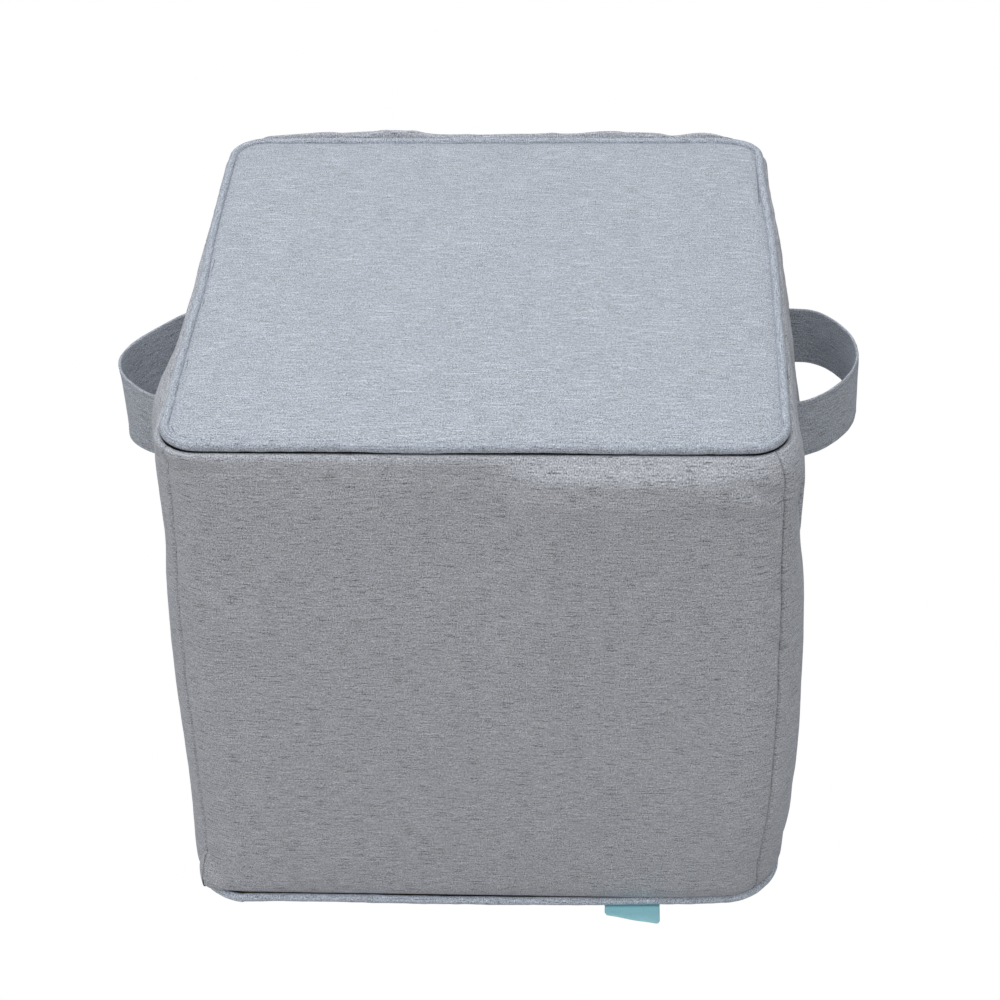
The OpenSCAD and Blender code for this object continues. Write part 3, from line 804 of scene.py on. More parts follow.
walls = {
    "front_cloth": (FRONT, -PANEL_END, PANEL_END - 0.005, "front_panel"),
    "back_cloth": (BACK, -PANEL_END, PANEL_END, "back_panel"),
    "right_front_cloth": (RIGHT, -PANEL_END - 0.005, -STRAP_Y, "right_front_strip"),
    "right_centre_cloth": (RIGHT, -STRAP_Y, STRAP_Y, "right_centre_strip"),
    "right_rear_cloth": (RIGHT, STRAP_Y, PANEL_END, "right_rear_strip"),
    "left_rear_cloth": (LEFT, -PANEL_END, -STRAP_Y, "left_rear_strip"),
    "left_centre_cloth": (LEFT, -STRAP_Y, STRAP_Y, "left_centre_strip"),
    "left_front_cloth": (LEFT, STRAP_Y, PANEL_END, "left_front_strip"),
}
for name, (side, a0, a1, cad) in walls.items():
    piece = wall_piece(name, side, a0, a1, CLOTH)
    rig.ride(piece, "bin_body")
    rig.replaces(piece, cad)
    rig.slot(piece, "outer_cloth")


def closed_slab(name, front, back, uv, material):
    """A pad between two grids of points of the same shape."""
    nu, nv = front.shape[:2]
    loop = [(i, 0) for i in range(nu)] + [(nu - 1, j) for j in range(1, nv)]
    loop += [(i, nv - 1) for i in range(nu - 2, -1, -1)] + [(0, j) for j in range(nv - 2, 0, -1)]
    ids = np.arange(nu * nv).reshape(nu, nv)
    faces = []
    for i in range(nu - 1):
        for j in range(nv - 1):
            q = (ids[i, j], ids[i + 1, j], ids[i + 1, j + 1], ids[i, j + 1])
            faces.append(q)
            faces.append(tuple(nu * nv + k for k in q[::-1]))
    for k in range(len(loop)):
        p, q = ids[loop[k]], ids[loop[(k + 1) % len(loop)]]
        faces.append((q, p, p + nu * nv, q + nu * nv))
    verts = np.vstack([front.reshape(-1, 3), back.reshape(-1, 3)])
    return new_object(name, verts, faces, np.vstack([uv.reshape(-1, 2)] * 2), material)


for side, word in SIDES:
    blo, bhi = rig.box(word + "_foam")
    a = np.linspace(-PANEL_END + 0.0012, PANEL_END - 0.0012, 40)
    z = np.linspace(blo.z + 0.002, bhi.z, 36)
    A, Z = np.meshgrid(a, z, indexing="ij")
    inset = 0.0042 if side in (FRONT, BACK) else 0.0050
    front = wall_surface(side, A, Z, inset)
    x, y = perimeter(side, A, np.full_like(A, PAD_BACK_RAD))
    back = np.stack([x, y, Z], -1)
    pad = closed_slab(word + "_pad", front, back, np.stack([A, Z], -1), FOAM)
    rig.ride(pad, "bin_body")
    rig.replaces(pad, word + "_foam")
    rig.slot(pad, "foam")
    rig.padded(pad, fill=0.85)

# ------------------------------------------------------------ pipings


def rounded_square(rad, step):
    """Points, outward directions and distances round a square with round corners."""
    pts, outs = [], []
    straight = np.linspace(-CORE, CORE, int(2 * CORE / step))
    arc = np.linspace(0, math.pi / 2, max(8, int(rad * math.pi / 2 / (step * 0.7))))
    for side in (FRONT, RIGHT, BACK, LEFT):
        for a in straight:
            pts.append(on_side(side, a, CORE + rad))
            outs.append(on_side(side, 0.0, 1.0))
        for t in arc[1:-1]:
            pts.append(on_side(side, CORE + rad * math.sin(t), CORE + rad * math.cos(t)))
            outs.append(on_side(side, math.sin(t), math.cos(t)))
    pts, outs = np.array(pts), np.array(outs)
    gap = np.linalg.norm(np.roll(pts, -1, 0) - pts, axis=1)
    return pts, outs, np.concatenate([[0], np.cumsum(gap)[:-1]])


def piping(name, rad, z, offset, rise, seed, joins, sewn_at, thick, material):
    """A welt. offset and rise move its line; sewn_at is the angle of its sewn side."""
    pts, outs, s = rounded_square(rad, PIPE_STEP)
    shift = offset(pts[:, 0], pts[:, 1]) + rough(s, s * 0, 0.045, 1, seed) * 0.00035
    lift = rise(pts[:, 0], pts[:, 1]) + rough(s, s * 0, 0.038, 1, seed + 1) * 0.00030
    r = PIPE_R * thick * (1 + 0.045 * rough(s, s * 0, 0.0065, 1, seed + 2)
                          + 0.03 * rough(s, s * 0, 0.02, 1, seed + 3))
    for at in joins:
        r = r * (1 - 0.16 * bump_at(s, at, 0.0012) + 0.07 * bump_at(s, at + 0.006, 0.005))
    phi = np.linspace(0, 2 * math.pi, 22, endpoint=False)
    # the welt is gathered a little at its sewn side, so its section is a round drop
    drop = 1 - 0.06 * np.cos(2 * (phi - sewn_at))
    wrinkle = rough(s[:, None] + 0.0008 * np.sin(phi)[None, :] * 3, phi[None, :] * 0.004 + s[:, None] * 0,
                    0.0042, 0.004, seed + 4)
    rr = r[:, None] * drop[None, :] + wrinkle * 0.00010
    out = rr * np.cos(phi)[None, :] + shift[:, None]
    up = rr * np.sin(phi)[None, :] + lift[:, None]
    x = pts[:, :1] + outs[:, :1] * out
    y = pts[:, 1:] + outs[:, 1:] * out
    zz = z + up
    x, y = soften(x, y, zz)
    uv = np.stack(np.broadcast_arrays(s[:, None], phi[None, :] * PIPE_R), -1)
    return grid(name, np.stack([x, y, zz], -1), uv, material, closed=(True, True))


def cord(name, rad, z, offset, rise):
    """The twisted cord inside a piping."""
    pts, outs, s = rounded_square(rad, PIPE_STEP)
    shift = offset(pts[:, 0], pts[:, 1])
    phi = np.linspace(0, 2 * math.pi, 14, endpoint=False)
    rr = 0.0021 * (1 + 0.06 * np.cos(3 * phi[None, :] + s[:, None] * 2 * math.pi / 0.011))
    out = rr * np.cos(phi)[None, :] + shift[:, None]
    zz = z + rr * np.sin(phi)[None, :] + rise(pts[:, 0], pts[:, 1])[:, None]
    x, y = pts[:, :1] + outs[:, :1] * out, pts[:, 1:] + outs[:, 1:] * out
    x, y = soften(x, y, zz)
    uv = np.stack(np.broadcast_arrays(s[:, None], phi[None, :] * 0.002), -1)
    return grid(name, np.stack([x, y, zz], -1), uv, CORD, closed=(True, True))


def lid_offset(x, y):
    """The lid's outline bows out between its corners, and dips where the left piping joins."""
    bow = (1 - smooth((np.abs(y) - 0.06) / 0.15)) * 0.0010
    right = smooth((x - 0.17) / 0.03) * (bow - 0.0034 * smooth((y - 0.05) / 0.10))
    dip = 0.0010 - 0.0026 * bump_at(y, 0.0, 0.045)
    left = smooth((-x - 0.17) / 0.03) * (dip - 0.0020 * smooth((0.02 - y) / 0.10))
    front = smooth((-y - 0.17) / 0.03) * 0.0008 * np.cos(x * 9)
    return right + left + front


def lid_rise(x, y):
    front = smooth((-y - 0.17) / 0.03)
    return front * (0.0001 * np.sin(x * 37) + 0.0003 * bump_at(x, -0.02, 0.10) - 0.0005)


def base_rise(x, y):
    return 0.0005 * rough(x, y, 0.08, 0.08, 55)


def base_offset(x, y):
    """The foot piping stands out further along the front and left than on the right."""
    front = smooth((-y - 0.15) / 0.06) * (0.0014 - 0.0024 * smooth((x - 0.02) / 0.16))
    left = smooth((-x - 0.17) / 0.04) * -0.0016
    corner = 0.0016 * np.exp(-(((x + 0.190) ** 2 + (y + 0.222) ** 2) / 0.020**2))
    return front + left + corner + 0.0005 * rough(x, y, 0.07, 0.07, 57)


LID_RUN = 2 * CORE + LID_PIPE_RAD * math.pi / 2
BASE_RUN = 2 * CORE + BASE_PIPE_RAD * math.pi / 2
pipings = (
    ("lid", LID_PIPE_RAD, LID_PIPE_Z, lid_offset, lid_rise, 201, [3 * LID_RUN + CORE - 0.008], 200, 1.0,
     PIPE_CLOTH, "lid"),
    ("base", BASE_PIPE_RAD, BASE_PIPE_Z, base_offset, base_rise, 231, [2 * BASE_RUN + 0.09], 120, 1.04,
     FOOT_PIPE_CLOTH_PAINTED_LIGHT, "bin_body"),
)
for word, rad, z, offset, rise, seed, joins, turn, thick, material, body in pipings:
    welt = piping(word + "_welt", rad, z, offset, rise, seed, joins, math.radians(turn), thick, material)
    inner = cord(word + "_welt_cord", rad, z, offset, rise)
    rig.ride(welt, body)
    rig.replaces(welt, word + "_piping")
    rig.slot(welt, "piping_cloth")
    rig.ride(inner, body)
    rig.replaces(inner, word + "_piping_cord")
    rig.slot(inner, "piping_cord")

# ------------------------------------------------------------ lid


def no_offset(x, y):
    return 0.0 * x


def plate(name, rad, height, material, offset, rings=58, flip=False):
    """A plate on a round-cornered square. height(x, y, distance in from the edge) -> z."""
    pts, outs, _ = rounded_square(rad, PLATE_STEP)
    edge_in = np.concatenate([np.linspace(0, 0.012, 14, endpoint=False),
                              np.linspace(0.012, CORE + rad, rings)])
    m = 1 - edge_in / (CORE + rad)
    m[-1] = 0.002
    x = pts[:, 0][:, None] * m[None, :]
    y = pts[:, 1][:, None] * m[None, :]
    inn = np.broadcast_to(edge_in[None, :], x.shape)
    near = np.exp(-inn / 0.05)
    shift = offset(pts[:, 0], pts[:, 1])[:, None] * near
    x, y = x + outs[:, :1] * shift, y + outs[:, 1:] * shift
    z = height(x, y, inn)
    x, y = soften(x, y, z)
    points = np.stack([x, y, z], -1)
    if flip:
        points = points[::-1]
    obj = grid(name, points, points[..., :2], material, closed=(True, False))
    # close the small hole in the middle
    mesh = obj.data
    nu, nv = points.shape[:2]
    bm = bmesh.new()
    bm.from_mesh(mesh)
    bm.verts.ensure_lookup_table()
    face = bm.faces.new([bm.verts[i * nv + nv - 1] for i in range(nu)])
    face.smooth = True
    bmesh.ops.triangulate(bm, faces=[face])
    bm.to_mesh(mesh)
    bm.free()
    # every corner takes its uv from its own place, seen from above
    uvl = mesh.uv_layers["UVMap"].data
    co = np.zeros(len(mesh.vertices) * 3)
    mesh.vertices.foreach_get("co", co)
    co = co.reshape(-1, 3)
    idx = np.zeros(len(mesh.loops), np.int64)
    mesh.loops.foreach_get("vertex_index", idx)
    uvl.foreach_set("uv", (co[idx, :2] + np.array(PLATE_UV)).astype(np.float32).ravel())
    return obj


LID_FOLDS = [((-0.150, -0.165), 34, 0.045, 0.007, -0.0006), ((0.165, 0.150), -38, 0.050, 0.008, -0.0006),
             ((0.120, -0.185), 8, 0.060, 0.006, -0.0005)]


def lid_top_height(x, y, inn):
    swell = 0.0042 * (1 - np.exp(-inn / 0.0068))
    crown = 0.0019 * smooth(inn / 0.12)
    z = TOP - 0.0063 + swell + crown
    corner = np.hypot(CORE + 0.01 - np.abs(x), CORE + 0.01 - np.abs(y))
    z = z - 0.0013 * np.exp(-corner / 0.030) * smooth((inn - 0.004) / 0.010)
    around = np.where(np.abs(x) > np.abs(y), y, x)
    z = z + rough(around, inn * 0, 0.0080, 1, 301) * 0.0005 * np.exp(-inn / 0.010) * smooth(inn / 0.003)
    z = z + rough(around, inn * 0, 0.0220, 1, 302) * 0.0006 * np.exp(-inn / 0.024) * smooth(inn / 0.006)
    uneven = rough(x, y, 0.110, 0.090, 303) * 0.0011 + rough(x, y, 0.040, 0.034, 304) * 0.00035
    z = z + uneven * smooth(inn / 0.03)
    for f in LID_FOLDS:
        z = z + fold(x, y, *f)
    return z


lid_top = plate("lid_top_cloth", LID_PIPE_RAD - PIPE_R + 0.0008, lid_top_height, LID_CLOTH_PAINTED_LIGHT, lid_offset)
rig.ride(lid_top, "lid")
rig.replaces(lid_top, "lid_panel")
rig.slot(lid_top, "outer_cloth")


def make_block(obj, floor_z):
    """Close a plate into a block standing on floor_z."""
    bm = bmesh.new()
    bm.from_mesh(obj.data)
    made = bmesh.ops.extrude_edge_only(bm, edges=[e for e in bm.edges if e.is_boundary])
    for v in made["geom"]:
        if isinstance(v, bmesh.types.BMVert):
            v.co.z = floor_z
    bmesh.ops.contextual_create(bm, geom=[e for e in bm.edges if e.is_boundary])
    bmesh.ops.recalc_face_normals(bm, faces=bm.faces)
    bm.to_mesh(obj.data)
    bm.free()


# The lid's lining: flat over the board, turned up round the pad to the zip tape
lin_lo, lin_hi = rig.box("lid_lining")
lin_rad = lin_hi.x - CORE


def under_height(x, y, inn):
    z = lin_lo.z + 0.0017 * np.exp(-inn / 0.0035)
    z = z + rough(x, y, 0.06, 0.06, 311) * 0.0003 * smooth(inn / 0.02)
    return z - 0.0002


lid_under = plate("lid_lining_cloth", lin_rad, under_height, LINING, no_offset, flip=True)
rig.ride(lid_under, "lid")
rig.replaces(lid_under, "lid_lining")
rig.slot(lid_under, "lining_cloth")

pts, outs, s = rounded_square(lin_rad, PLATE_STEP)
ups = np.linspace(lin_lo.z + 0.0015, TOP - 0.0100, 16)
S, U = np.meshgrid(s, ups, indexing="ij")
puff = 0.00016 * rough(S, U, 0.012, 0.02, 321)
x = pts[:, :1] + outs[:, :1] * (puff + 0.00002)
y = pts[:, 1:] + outs[:, 1:] * (puff + 0.00002)
band = grid("lid_lining_band", np.stack([x, y, U], -1), np.stack([S, U], -1), LINING, closed=(True, False))
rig.ride(band, "lid")
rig.slot(band, "lining_cloth")

# The lid's pad: a crowned block, just under the top cloth
foam_lo, foam_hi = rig.box("lid_foam")
pad_rad = foam_hi.x - CORE - 0.0004


def pad_height(x, y, inn):
    return foam_hi.z - 0.0016 - 0.0035 * np.exp(-inn / 0.010)


pad_top = plate("lid_pad", pad_rad, pad_height, FOAM, no_offset)
make_block(pad_top, foam_lo.z + 0.0002)
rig.ride(pad_top, "lid")
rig.replaces(pad_top, "lid_foam")
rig.slot(pad_top, "foam")
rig.padded(pad_top, fill=0.9)

# ------------------------------------------------------------ base and linings


def base_height(x, y, inn):
    return (0.0012 * np.exp(-inn / 0.006) + 0.00005
            + 0.00025 * (1 + rough(x, y, 0.03, 0.03, 331)) * smooth(inn / 0.01) * 0.4)


base = plate("base_cloth", BASE_PIPE_RAD, base_height, CLOTH, base_offset, flip=True)
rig.ride(base, "bin_body")
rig.replaces(base, "base_panel")
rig.slot(base, "outer_cloth")

bb_lo, bb_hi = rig.box("base_board")
board = plate("base_board_card", bb_hi.x - CORE - 0.0008, lambda x, y, inn: bb_hi.z + 0.0 * x, BOARD,
              no_offset, rings=20)
make_block(board, bb_lo.z)
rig.ride(board, "bin_body")
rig.replaces(board, "base_board")
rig.slot(board, "board")

for side, word in SIDES:
    end = CORE + LINING_IN * math.pi / 4
    a = steps(-end, end, 0.0008, 0.0050, 0.012)
    z = np.linspace(LINING_LO + 0.0003, LINING_HI - 0.0002, 96)
    A, Z = np.meshgrid(a, z, indexing="ij")
    edge = end - np.abs(A)
    ease = smooth(edge / 0.02) * smooth((Z - LINING_LO) / 0.03) * smooth((LINING_HI - Z) / 0.01)
    wave = (0.5 + 0.5 * rough(A, Z, 0.060, 0.075, 341 + side)) * 0.0009 * ease
    wave += (0.5 + 0.5 * rough(Z, A * 0, 0.011, 1, 351 + side)) * 0.0005 * np.exp(-edge / 0.010)
    wave += (0.5 + 0.5 * rough(A, A * 0, 0.009, 1, 361 + side)) * 0.0005 * np.exp(-(LINING_HI - Z) / 0.012)
    turn = np.clip((np.abs(A) - CORE) / LINING_IN, 0, math.pi / 2)
    rad = LINING_IN - wave + 0.0009 * np.clip(1 - edge / 0.0022, 0, 1) ** 2
    along = np.clip(A, -CORE, CORE) + np.sign(A) * rad * np.sin(turn)
    x, y = on_side(side, along, CORE + rad * np.cos(turn))
    piece = grid(word + "_lining_cloth", np.stack([x, y, Z], -1)[::-1], np.stack([A + side, Z], -1)[::-1],
                 LINING)
    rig.ride(piece, "bin_body")
    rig.replaces(piece, word + "_lining")
    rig.slot(piece, "lining_cloth")

bl_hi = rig.box("base_lining")[1]


def floor_height(x, y, inn):
    z = bl_hi.z - 0.0006 + 0.0004 * smooth(inn / 0.006)
    return z + rough(x, y, 0.07, 0.06, 371) * 0.0002


inner_floor = plate("base_lining_cloth", bl_hi.x - CORE, floor_height, LINING, no_offset)
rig.ride(inner_floor, "bin_body")
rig.replaces(inner_floor, "base_lining")
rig.slot(inner_floor, "lining_cloth")

# ------------------------------------------------------------ straps


def strap_twist(at, y, length, lean_out, lean_front, lift_front):
    """Along a strap: how far its lower edge stands out, how free it is of its seams (0 to 1)
    and how far it is lifted."""
    free = smooth(np.minimum(at, length - at) / 0.035)
    rear = smooth((y + 0.050) / 0.045)
    tilt = free * (lean_front + (lean_out - lean_front) * rear)
    return tilt, free, lift_front * (1 - smooth((y + 0.06) / 0.05))


def strap_shift(at, v, y, length, half, way, twist):
    """How far a point of a strap is moved out from its line, and how far up. v is its
    height on the strap: the lower edge stands out further, and both edges wander."""
    tilt, free, raised = strap_twist(at, y, length, *twist)
    off = tilt * (-v / half) + rough(at, v * 0, 0.032, 1, 401 + way) * 0.0009 * free
    off = off + rough(at, v, 0.024, 0.020, 411 + way) * 0.0006 * free
    sag = -0.0012 * free + rough(at, v * 0, 0.05, 1, 431 + way) * 0.0008 * free
    return off, sag + raised


def strap(name, way, plan, twist):
    """A flat strap on edge: plan is its line seen from above, on the right-hand side, in mm.
    way is 1 on the right and -1 on the left. twist holds strap_twist's last three values."""
    path, s = smooth_path([(x * MM, y * MM) for x, y in plan], 0.0020)
    tangent = np.gradient(path, axis=0)
    tangent /= np.linalg.norm(tangent, axis=1)[:, None]
    normal = np.stack([tangent[:, 1], -tangent[:, 0]], 1)
    half, thick = STRAP_H / 2 - 0.0006, STRAP_HALF_T
    face = np.linspace(-1, 1, 26)
    ends = [math.radians(t) for t in np.linspace(-90, 90, 7)[1:-1]]
    # round the section: outer face upwards, over the top edge, inner face down, under the bottom
    ring = [(v * (half - thick), thick) for v in face]
    ring += [(half - thick + thick * math.cos(t), -thick * math.sin(t)) for t in ends]
    ring += [(v * (half - thick), -thick) for v in face[::-1]]
    ring += [(-half + thick - thick * math.cos(t), thick * math.sin(t)) for t in ends]
    ring = np.array(ring)
    S, V = np.meshgrid(s, ring[:, 0], indexing="ij")
    T = np.meshgrid(s, ring[:, 1], indexing="ij")[1]
    off, sag = strap_shift(S, V, np.interp(S, s, path[:, 1]), s[-1], half, way, twist)
    # the strap is drawn in along its stitching
    ridge = np.exp(-(((np.abs(V) - (half - STITCH_IN)) / 0.0009) ** 2))
    T = T * (1 - 0.30 * ridge) + np.sign(T) * 0.00018 * rough(S, V, 0.0045, 0.05, 421 + way)
    px = np.interp(S, s, path[:, 0]) + np.interp(S, s, normal[:, 0]) * (T + off)
    py = np.interp(S, s, path[:, 1]) + np.interp(S, s, normal[:, 1]) * (T + off)
    pz = STRAP_Z + V + sag
    mirror = 1.0 if way > 0 else -1.0
    points = np.stack([px * mirror, py, pz], -1)
    # u runs along the cloth, and v over both faces, so the two faces don't share a pattern
    over = np.concatenate([[0], np.cumsum(np.linalg.norm(np.diff(ring, axis=0), axis=1))])
    uv = np.stack(np.broadcast_arrays(S + way * 5, over[None, :]), -1)
    if way > 0:
        points, uv = points[:, ::-1], uv[:, ::-1]
    obj = grid(name, points, uv, STRAP_CLOTH, closed=(False, True))
    return obj, (path, normal, s, half, thick, twist)


# Rings along a stitch: place, thickness and height; its ends dip into the cloth
STITCH_RINGS = ((-1.0, 0.35, -1.0), (-0.72, 0.85, 0.0), (0.0, 1.0, 0.35), (0.72, 0.85, 0.0),
                (1.0, 0.35, -1.0))


def stitches(name, frames, length, radius, material):
    """Short raised stitches. frames: (centre, direction, outward) triples."""
    verts, faces = [], []
    ring = 5
    for c, d, n in frames:
        d = d / np.linalg.norm(d)
        n = n - d * (n @ d)
        n = n / np.linalg.norm(n)
        b = np.cross(d, n)
        k = len(verts)
        for t, w, dip in STITCH_RINGS:
            for i in range(ring):
                a = 2 * math.pi * i / ring
                verts.append(c + d * (t * length / 2) + n * (dip * radius * 0.7 + w * radius * math.sin(a))
                             + b * (w * radius * math.cos(a)))
        for j in range(4):
            for i in range(ring):
                p, q = k + j * ring + i, k + j * ring + (i + 1) % ring
                faces.append((p, q, q + ring, p + ring))
        faces.append(tuple(k + i for i in range(ring))[::-1])
        faces.append(tuple(k + 4 * ring + i for i in range(ring)))
    verts = np.array(verts)
    return new_object(name, verts, faces, verts[:, :2], material)


def strap_stitches(way, shape):
    """The two rows of stitches on both faces of a strap; shape is what strap() gives."""
    path, normal, s, half, thick, twist = shape
    mirror = 1.0 if way > 0 else -1.0
    frames = []
    for v in (-(half - STITCH_IN), half - STITCH_IN):
        for at in np.arange(0.006, s[-1] - 0.005, STITCH_PITCH):
            p = np.array([np.interp(at, s, path[:, i]) for i in range(2)])
            off, sag = strap_shift(np.array(at), np.array(v), p[1], s[-1], half, way, twist)
            off, sag = float(off), float(sag)
            n = np.array([np.interp(at, s, normal[:, i]) for i in range(2)])
            d = np.array([-n[1], n[0]])
            for face_side in (1, -1):
                q = p + n * (off + face_side * thick * 0.78)
                frames.append((np.array([q[0] * mirror, q[1], STRAP_Z + v + sag]),
                               np.array([d[0] * mirror, d[1], 0.0]),
                               np.array([n[0] * mirror, n[1], 0.0]) * face_side))
    word = "right" if way > 0 else "left"
    return stitches(word + "_strap_stitching", frames, 0.0026, 0.00032, THREAD)


# Lines of the straps seen from above, on the right-hand side, in mm
RIGHT_PLAN = [(219.0, -64.6), (226.0, -64.4), (236.0, -60.0), (252.0, -46.0), (267.0, -26.0), (275.0, -3.0),
              (275.0, 19.0), (268.5, 39.0), (257.0, 54.0), (244.5, 62.6), (231.0, 64.4), (219.0, 64.0)]
LEFT_PLAN = [(210.0, -64.0), (220.0, -64.0), (232.0, -64.2), (246.0, -61.0), (259.5, -50.0), (269.0, -33.0),
             (273.0, -11.0), (269.0, 9.0), (259.0, 26.0), (246.0, 42.0), (232.0, 56.0), (220.0, 63.0),
             (210.0, 64.0)]
right_strap, right_shape = strap("right_strap_cloth", 1, RIGHT_PLAN, (0.0010, 0.0010, 0.0020))
left_strap, left_shape = strap("left_strap_cloth", -1, LEFT_PLAN, (-0.0042, 0.0034, 0.0034))
right_threads = strap_stitches(1, right_shape)
left_threads = strap_stitches(-1, left_shape)
for obj, word, x in ((right_strap, "right", 1), (left_strap, "left", -1),
                     (right_threads, "right", 1), (left_threads, "left", -1)):
    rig.blend(obj, "bin_body", word + "_strap", start=(x * 0.226, 0, STRAP_Z), end=(x * 0.250, 0, STRAP_Z))
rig.replaces(right_strap, "right_handle", "right_handle_front_end", "right_handle_rear_end")
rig.replaces(left_strap, "left_handle", "left_handle_front_end", "left_handle_rear_end")
for obj in (right_strap, left_strap, right_threads, left_threads):
    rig.slot(obj, "strap_cloth")

# stiff patches behind the strap seams, laid against the inside of the wall cloth
for word, side in (("left", LEFT), ("right", RIGHT)):
    for name, y in (("front", -STRAP_Y), ("rear", STRAP_Y)):
        a = (y if side == RIGHT else -y) + np.linspace(-0.024, 0.024, 14)
        z = STRAP_Z + np.linspace(-0.033, 0.033, 14)
        A, Z = np.meshgrid(a, z, indexing="ij")
        patch = closed_slab(f"{word}_{name}_patch", wall_surface(side, A, Z, 0.0040),
                            wall_surface(side, A, Z, 0.0048), np.stack([A, Z], -1), PATCH)
        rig.ride(patch, "bin_body")
        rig.replaces(patch, word + "_handle_patches")
        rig.slot(patch, "patch_cloth")

# ------------------------------------------------------------ label

lab_lo, lab_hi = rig.box("seam_label")
u = np.linspace(0, 1, 34)
v = np.linspace(0, 1, 20)
U, V = np.meshgrid(u, v, indexing="ij")
front_y = -(CORE + BASE_PIPE_RAD + PIPE_R)
lx = lab_lo.x + 0.0012 + U * (lab_hi.x - lab_lo.x - 0.0024)
reach = 0.0085 + 0.0098 * U
corner = 0.0032
end_in = np.clip(corner - np.minimum(U, 1 - U) * 0.042, 0, corner)
round_off = corner - np.sqrt(np.clip(corner**2 - end_in**2, 0, None))
ly_back = front_y + 0.0060
ly_front = front_y - reach + round_off
ly = ly_back + (ly_front - ly_back) * V
curl = 0.0006 + 0.0016 * smooth((V - 0.35) / 0.65) * (0.35 + 0.65 * U) + 0.0003 * np.sin(U * 9)
lz_top = np.where(ly > front_y, 0.0011, 0.0011 + curl * smooth((front_y - ly) / 0.010))
top_grid = np.stack([lx, ly, lz_top], -1)
low_grid = np.stack([lx, ly, lz_top - 0.0008], -1)
label = closed_slab("teal_label", top_grid[::-1], low_grid[::-1], np.stack([lx, ly], -1)[::-1], LABEL)
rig.ride(label, "bin_body")
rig.replaces(label, "seam_label")
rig.slot(label, "label_cloth")

# ------------------------------------------------------------ zip

tape_lo, tape_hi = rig.box("lower_zip_tape")
up_lo, up_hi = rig.box("upper_zip_tape")
teeth_lo, teeth_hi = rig.box("lower_zip_teeth")
uteeth_lo, uteeth_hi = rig.box("upper_zip_teeth")
TAPE_OUT = tape_hi.x - CORE
ZIP_END = teeth_hi.y


def u_path(rad, end_y, step):
    """Down the right side, round the front and up the left, from y = end_y to end_y."""
    pts = [(CORE + rad, y) for y in np.linspace(end_y, -CORE, int((end_y + CORE) / step))]
    arc = np.linspace(0, math.pi / 2, 16)[1:]
    pts += [(CORE + rad * math.cos(t), -CORE - rad * math.sin(t)) for t in arc]
    pts += [(x, -CORE - rad) for x in np.linspace(CORE, -CORE, int(2 * CORE / step))[1:]]
    pts += [(-CORE - rad * math.sin(t), -CORE - rad * math.cos(t)) for t in arc]
    pts += [(-CORE - rad, y) for y in np.linspace(-CORE, end_y, int((end_y + CORE) / step))[1:]]
    return resample(pts, step)


def face_outwards(obj):
    bm = bmesh.new()
    bm.from_mesh(obj.data)
    bmesh.ops.recalc_face_normals(bm, faces=bm.faces)
    bm.to_mesh(obj.data)
    bm.free()


# Rings along a tooth: place and thickness
TOOTH_RINGS = ((-1, 0.72), (-0.55, 1.0), (0.55, 1.0), (1, 0.72))


def zip_row(name, box_lo, box_hi, body, cad):
    """Moulded coil teeth, one by one, along the tape's edge."""
    mid_rad = (TAPE_OUT + box_hi.x - CORE) / 2
    path = u_path(mid_rad, ZIP_END - 0.001, 0.0024)[0]
    depth, height = (box_hi.x - CORE - TAPE_OUT) / 2, (box_hi.z - box_lo.z) / 2
    zc = (box_lo.z + box_hi.z) / 2
    d = np.gradient(path, axis=0)
    d /= np.linalg.norm(d, axis=1)[:, None]
    verts, faces = [], []
    ring = 8
    for i in range(len(path)):
        t = np.array([d[i, 0], d[i, 1], 0])
        n = np.array([-d[i, 1], d[i, 0], 0])
        k = len(verts)
        for w, size in TOOTH_RINGS:
            for j in range(ring):
                a = 2 * math.pi * (j + 0.5) / ring
                verts.append(np.array([path[i, 0], path[i, 1], zc]) + t * w * TOOTH_HALF
                             + n * depth * size * 0.96 * math.cos(a)
                             + np.array([0, 0, height * size * 0.98 * math.sin(a)]))
        for e in range(3):
            for j in range(ring):
                p, q = k + e * ring + j, k + e * ring + (j + 1) % ring
                faces.append((p, q, q + ring, p + ring))
        faces.append(tuple(range(k + ring - 1, k - 1, -1)))
        faces.append(tuple(range(k + 3 * ring, k + 4 * ring)))
    verts = np.array(verts)
    obj = new_object(name, verts, faces, verts[:, :2], TEETH)
    face_outwards(obj)
    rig.ride(obj, body)
    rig.replaces(obj, cad)
    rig.slot(obj, "zip_teeth")


zip_row("lower_zip_coil", teeth_lo, teeth_hi, "bin_body", "lower_zip_teeth")
zip_row("upper_zip_coil", uteeth_lo, uteeth_hi, "lid", "upper_zip_teeth")


def tape_piece(name, box_lo, box_hi, body, cad, seed):
    """A zip tape: a thin upright strip round three sides."""
    rad_in = TAPE_OUT - 0.0008
    path, s = u_path((rad_in + TAPE_OUT) / 2, box_hi.y - 0.0002, 0.0045)
    d = np.gradient(path, axis=0)
    d /= np.linalg.norm(d, axis=1)[:, None]
    n = np.stack([-d[:, 1], d[:, 0]], 1)
    v = np.linspace(box_lo.z + 0.0001, box_hi.z - 0.0001, 12)
    S, Vv = np.meshgrid(s, v, indexing="ij")
    ripple = 0.00008 * rough(S, Vv, 0.008, 0.02, seed)
    sheets = []
    for sign in (-1, 1):
        off = ripple + sign * TAPE_HALF_T
        sheets.append(np.stack([path[:, :1] + n[:, :1] * off, path[:, 1:] + n[:, 1:] * off, Vv], -1))
    obj = closed_slab(name, *sheets, np.stack([Vv, S], -1), TAPE)
    face_outwards(obj)
    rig.ride(obj, body)
    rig.replaces(obj, cad)
    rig.slot(obj, "tape_cloth")


tape_piece("lower_tape_cloth", tape_lo, tape_hi, "bin_body", "lower_zip_tape", 501)
tape_piece("upper_tape_cloth", up_lo, up_hi, "lid", "upper_zip_tape", 511)

# ------------------------------------------------------------ rear seam

